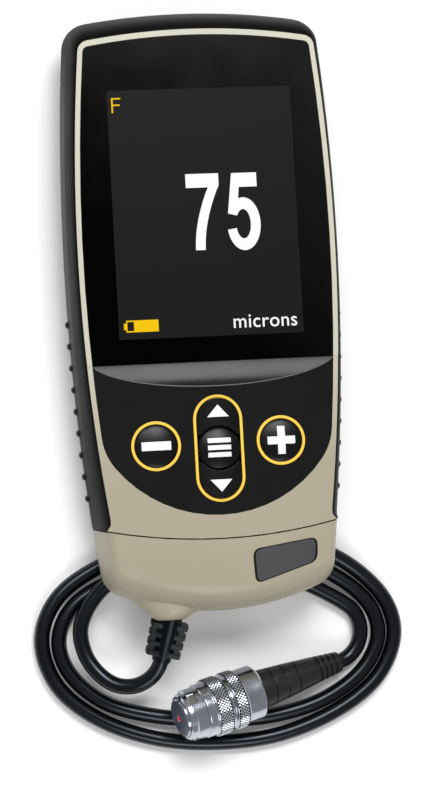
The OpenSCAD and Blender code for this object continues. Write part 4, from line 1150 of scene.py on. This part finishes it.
def dark_faced(plunger):
    """Gives the flat of the plunger its dark coating and leaves the rim bare metal."""
    plunger.data.materials.append(finish("dark_face"))
    for face in plunger.data.polygons:
        if face.normal.dot(probe_heading()) < -FLAT_MATCH:
            face.material_index = 1
    return plunger


def dress_probe():
    """The metal head of the probe, with its knurled bands, plunger and jewel."""
    chrome = finish("turned_chrome")
    pieces = [
        dressed("probe_barrel", chrome, 30, 0.12, 2),
        dressed("probe_nose", chrome, 30, 0.12, 2),
        dark_faced(dressed("probe_plunger", chrome, 35, 0.2, 3)),
        dressed("ruby_tip", finish("ruby_jewel"), 60),
    ]
    pieces += [knurl_sleeve(name, start, end) for name, (start, end) in KNURL_BANDS.items()]
    return pieces


# Stage


class GAUGE_OT_stage(bpy.types.Operator):
    """Set the floor, the soft light and the camera"""

    bl_idname = "gauge.stage"
    bl_label = "Stage"

    def execute(self, context):
        self.floor()
        for name, (place, size, power) in LIGHTS.items():
            self.light(name, place, size, power)
        self.sky()
        self.camera()
        bpy.context.scene.view_settings.view_transform = "Standard"
        return {"FINISHED"}

    def floor(self):
        deselect_all()
        bpy.ops.mesh.primitive_plane_add(size=FLOOR_SIZE, location=(0, 0, 0))
        floor = bpy.context.view_layer.objects.active
        floor.name = "floor"
        material, nodes, links, shader = new_finish("pale_floor")
        cloud = noise(nodes, links, object_place(nodes), 3.0)
        tone = mixed_colour(nodes, links, cloud, (0.94, 0.94, 0.94), (0.96, 0.96, 0.96))
        links.new(tone, shader.inputs["Base Color"])
        links.new(tone, shader.inputs["Emission Color"])
        shader.inputs["Emission Strength"].default_value = 0.09
        shader.inputs["Roughness"].default_value = 0.9
        shader.inputs["Specular IOR Level"].default_value = 0.1
        paint(floor, material)

    def light(self, name, place, size, power):
        deselect_all()
        bpy.ops.object.light_add(type="AREA", location=place)
        lamp = bpy.context.view_layer.objects.active
        lamp.name = name
        lamp.data.shape = "DISK"
        lamp.data.size = size
        lamp.data.energy = power
        aim = LIGHT_AIM - Vector(place)
        lamp.rotation_euler = aim.to_track_quat("-Z", "Y").to_euler()

    def sky(self):
        world = bpy.data.worlds.new("studio")
        bpy.context.scene.world = world
        world.use_nodes = True
        nodes, links = world.node_tree.nodes, world.node_tree.links
        place = nodes.new("ShaderNodeTexCoord")
        split = nodes.new("ShaderNodeSeparateXYZ")
        links.new(place.outputs["Generated"], split.inputs["Vector"])
        ramp = nodes.new("ShaderNodeValToRGB")
        ramp.color_ramp.elements[0].position = 0.0
        ramp.color_ramp.elements[0].color = (0.34, 0.34, 0.35, 1)
        ramp.color_ramp.elements[1].position = 1.0
        ramp.color_ramp.elements[1].color = (0.3, 0.3, 0.3, 1)
        links.new(split.outputs["Z"], ramp.inputs["Fac"])
        back = nodes["Background"]
        links.new(ramp.outputs["Color"], back.inputs["Color"])
        back.inputs["Strength"].default_value = 1.0

    def camera(self):
        data = bpy.data.cameras.new("camera")
        data.sensor_fit = "VERTICAL"
        data.sensor_height = SENSOR_HEIGHT
        data.lens = FOCAL_PIXELS / PICTURE_PIXELS * SENSOR_HEIGHT
        data.clip_start = 0.01
        camera = linked("camera", data)
        right = CAMERA_RIGHT.normalized()
        back = CAMERA_RIGHT.cross(CAMERA_UP).normalized()
        up = back.cross(right)
        turn = Matrix((right, up, back)).transposed().to_4x4()
        camera.matrix_world = Matrix.Translation(CAMERA_PLACE * MM) @ turn
        bpy.context.scene.camera = camera


class GAUGE_PT_panel(bpy.types.Panel):
    """Shows the gauge's operators and its colours and sizes"""

    bl_label = "Thickness gauge"
    bl_idname = "GAUGE_PT_panel"
    bl_space_type = "VIEW_3D"
    bl_region_type = "UI"
    bl_category = "Gauge"

    def draw(self, context):
        for operator in OPERATORS:
            self.layout.operator(operator.bl_idname)
        for group in (context.scene.gauge_colours, context.scene.gauge_sizes):
            box = self.layout.box()
            for name in group.__annotations__:
                box.prop(group, name)


OPERATORS = (
    GAUGE_OT_stage, GAUGE_OT_cable, GAUGE_OT_housing, GAUGE_OT_inside, GAUGE_OT_display, GAUGE_OT_keypad,
    GAUGE_OT_probe_cap,
)
CLASSES = (GaugeColours, GaugeSizes) + OPERATORS + (GAUGE_PT_panel,)


def register():
    for item in CLASSES:
        bpy.utils.register_class(item)
    bpy.types.Scene.gauge_colours = PointerProperty(type=GaugeColours)
    bpy.types.Scene.gauge_sizes = PointerProperty(type=GaugeSizes)


def unregister():
    del bpy.types.Scene.gauge_sizes
    del bpy.types.Scene.gauge_colours
    for item in reversed(CLASSES):
        bpy.utils.unregister_class(item)


def main():
    register()
    bpy.ops.gauge.stage()
    bpy.ops.gauge.cable()
    bpy.ops.gauge.housing()
    bpy.ops.gauge.inside()
    bpy.ops.gauge.display()
    bpy.ops.gauge.keypad()
    bpy.ops.gauge.probe_cap()


if __name__ == "__main__":
    main()
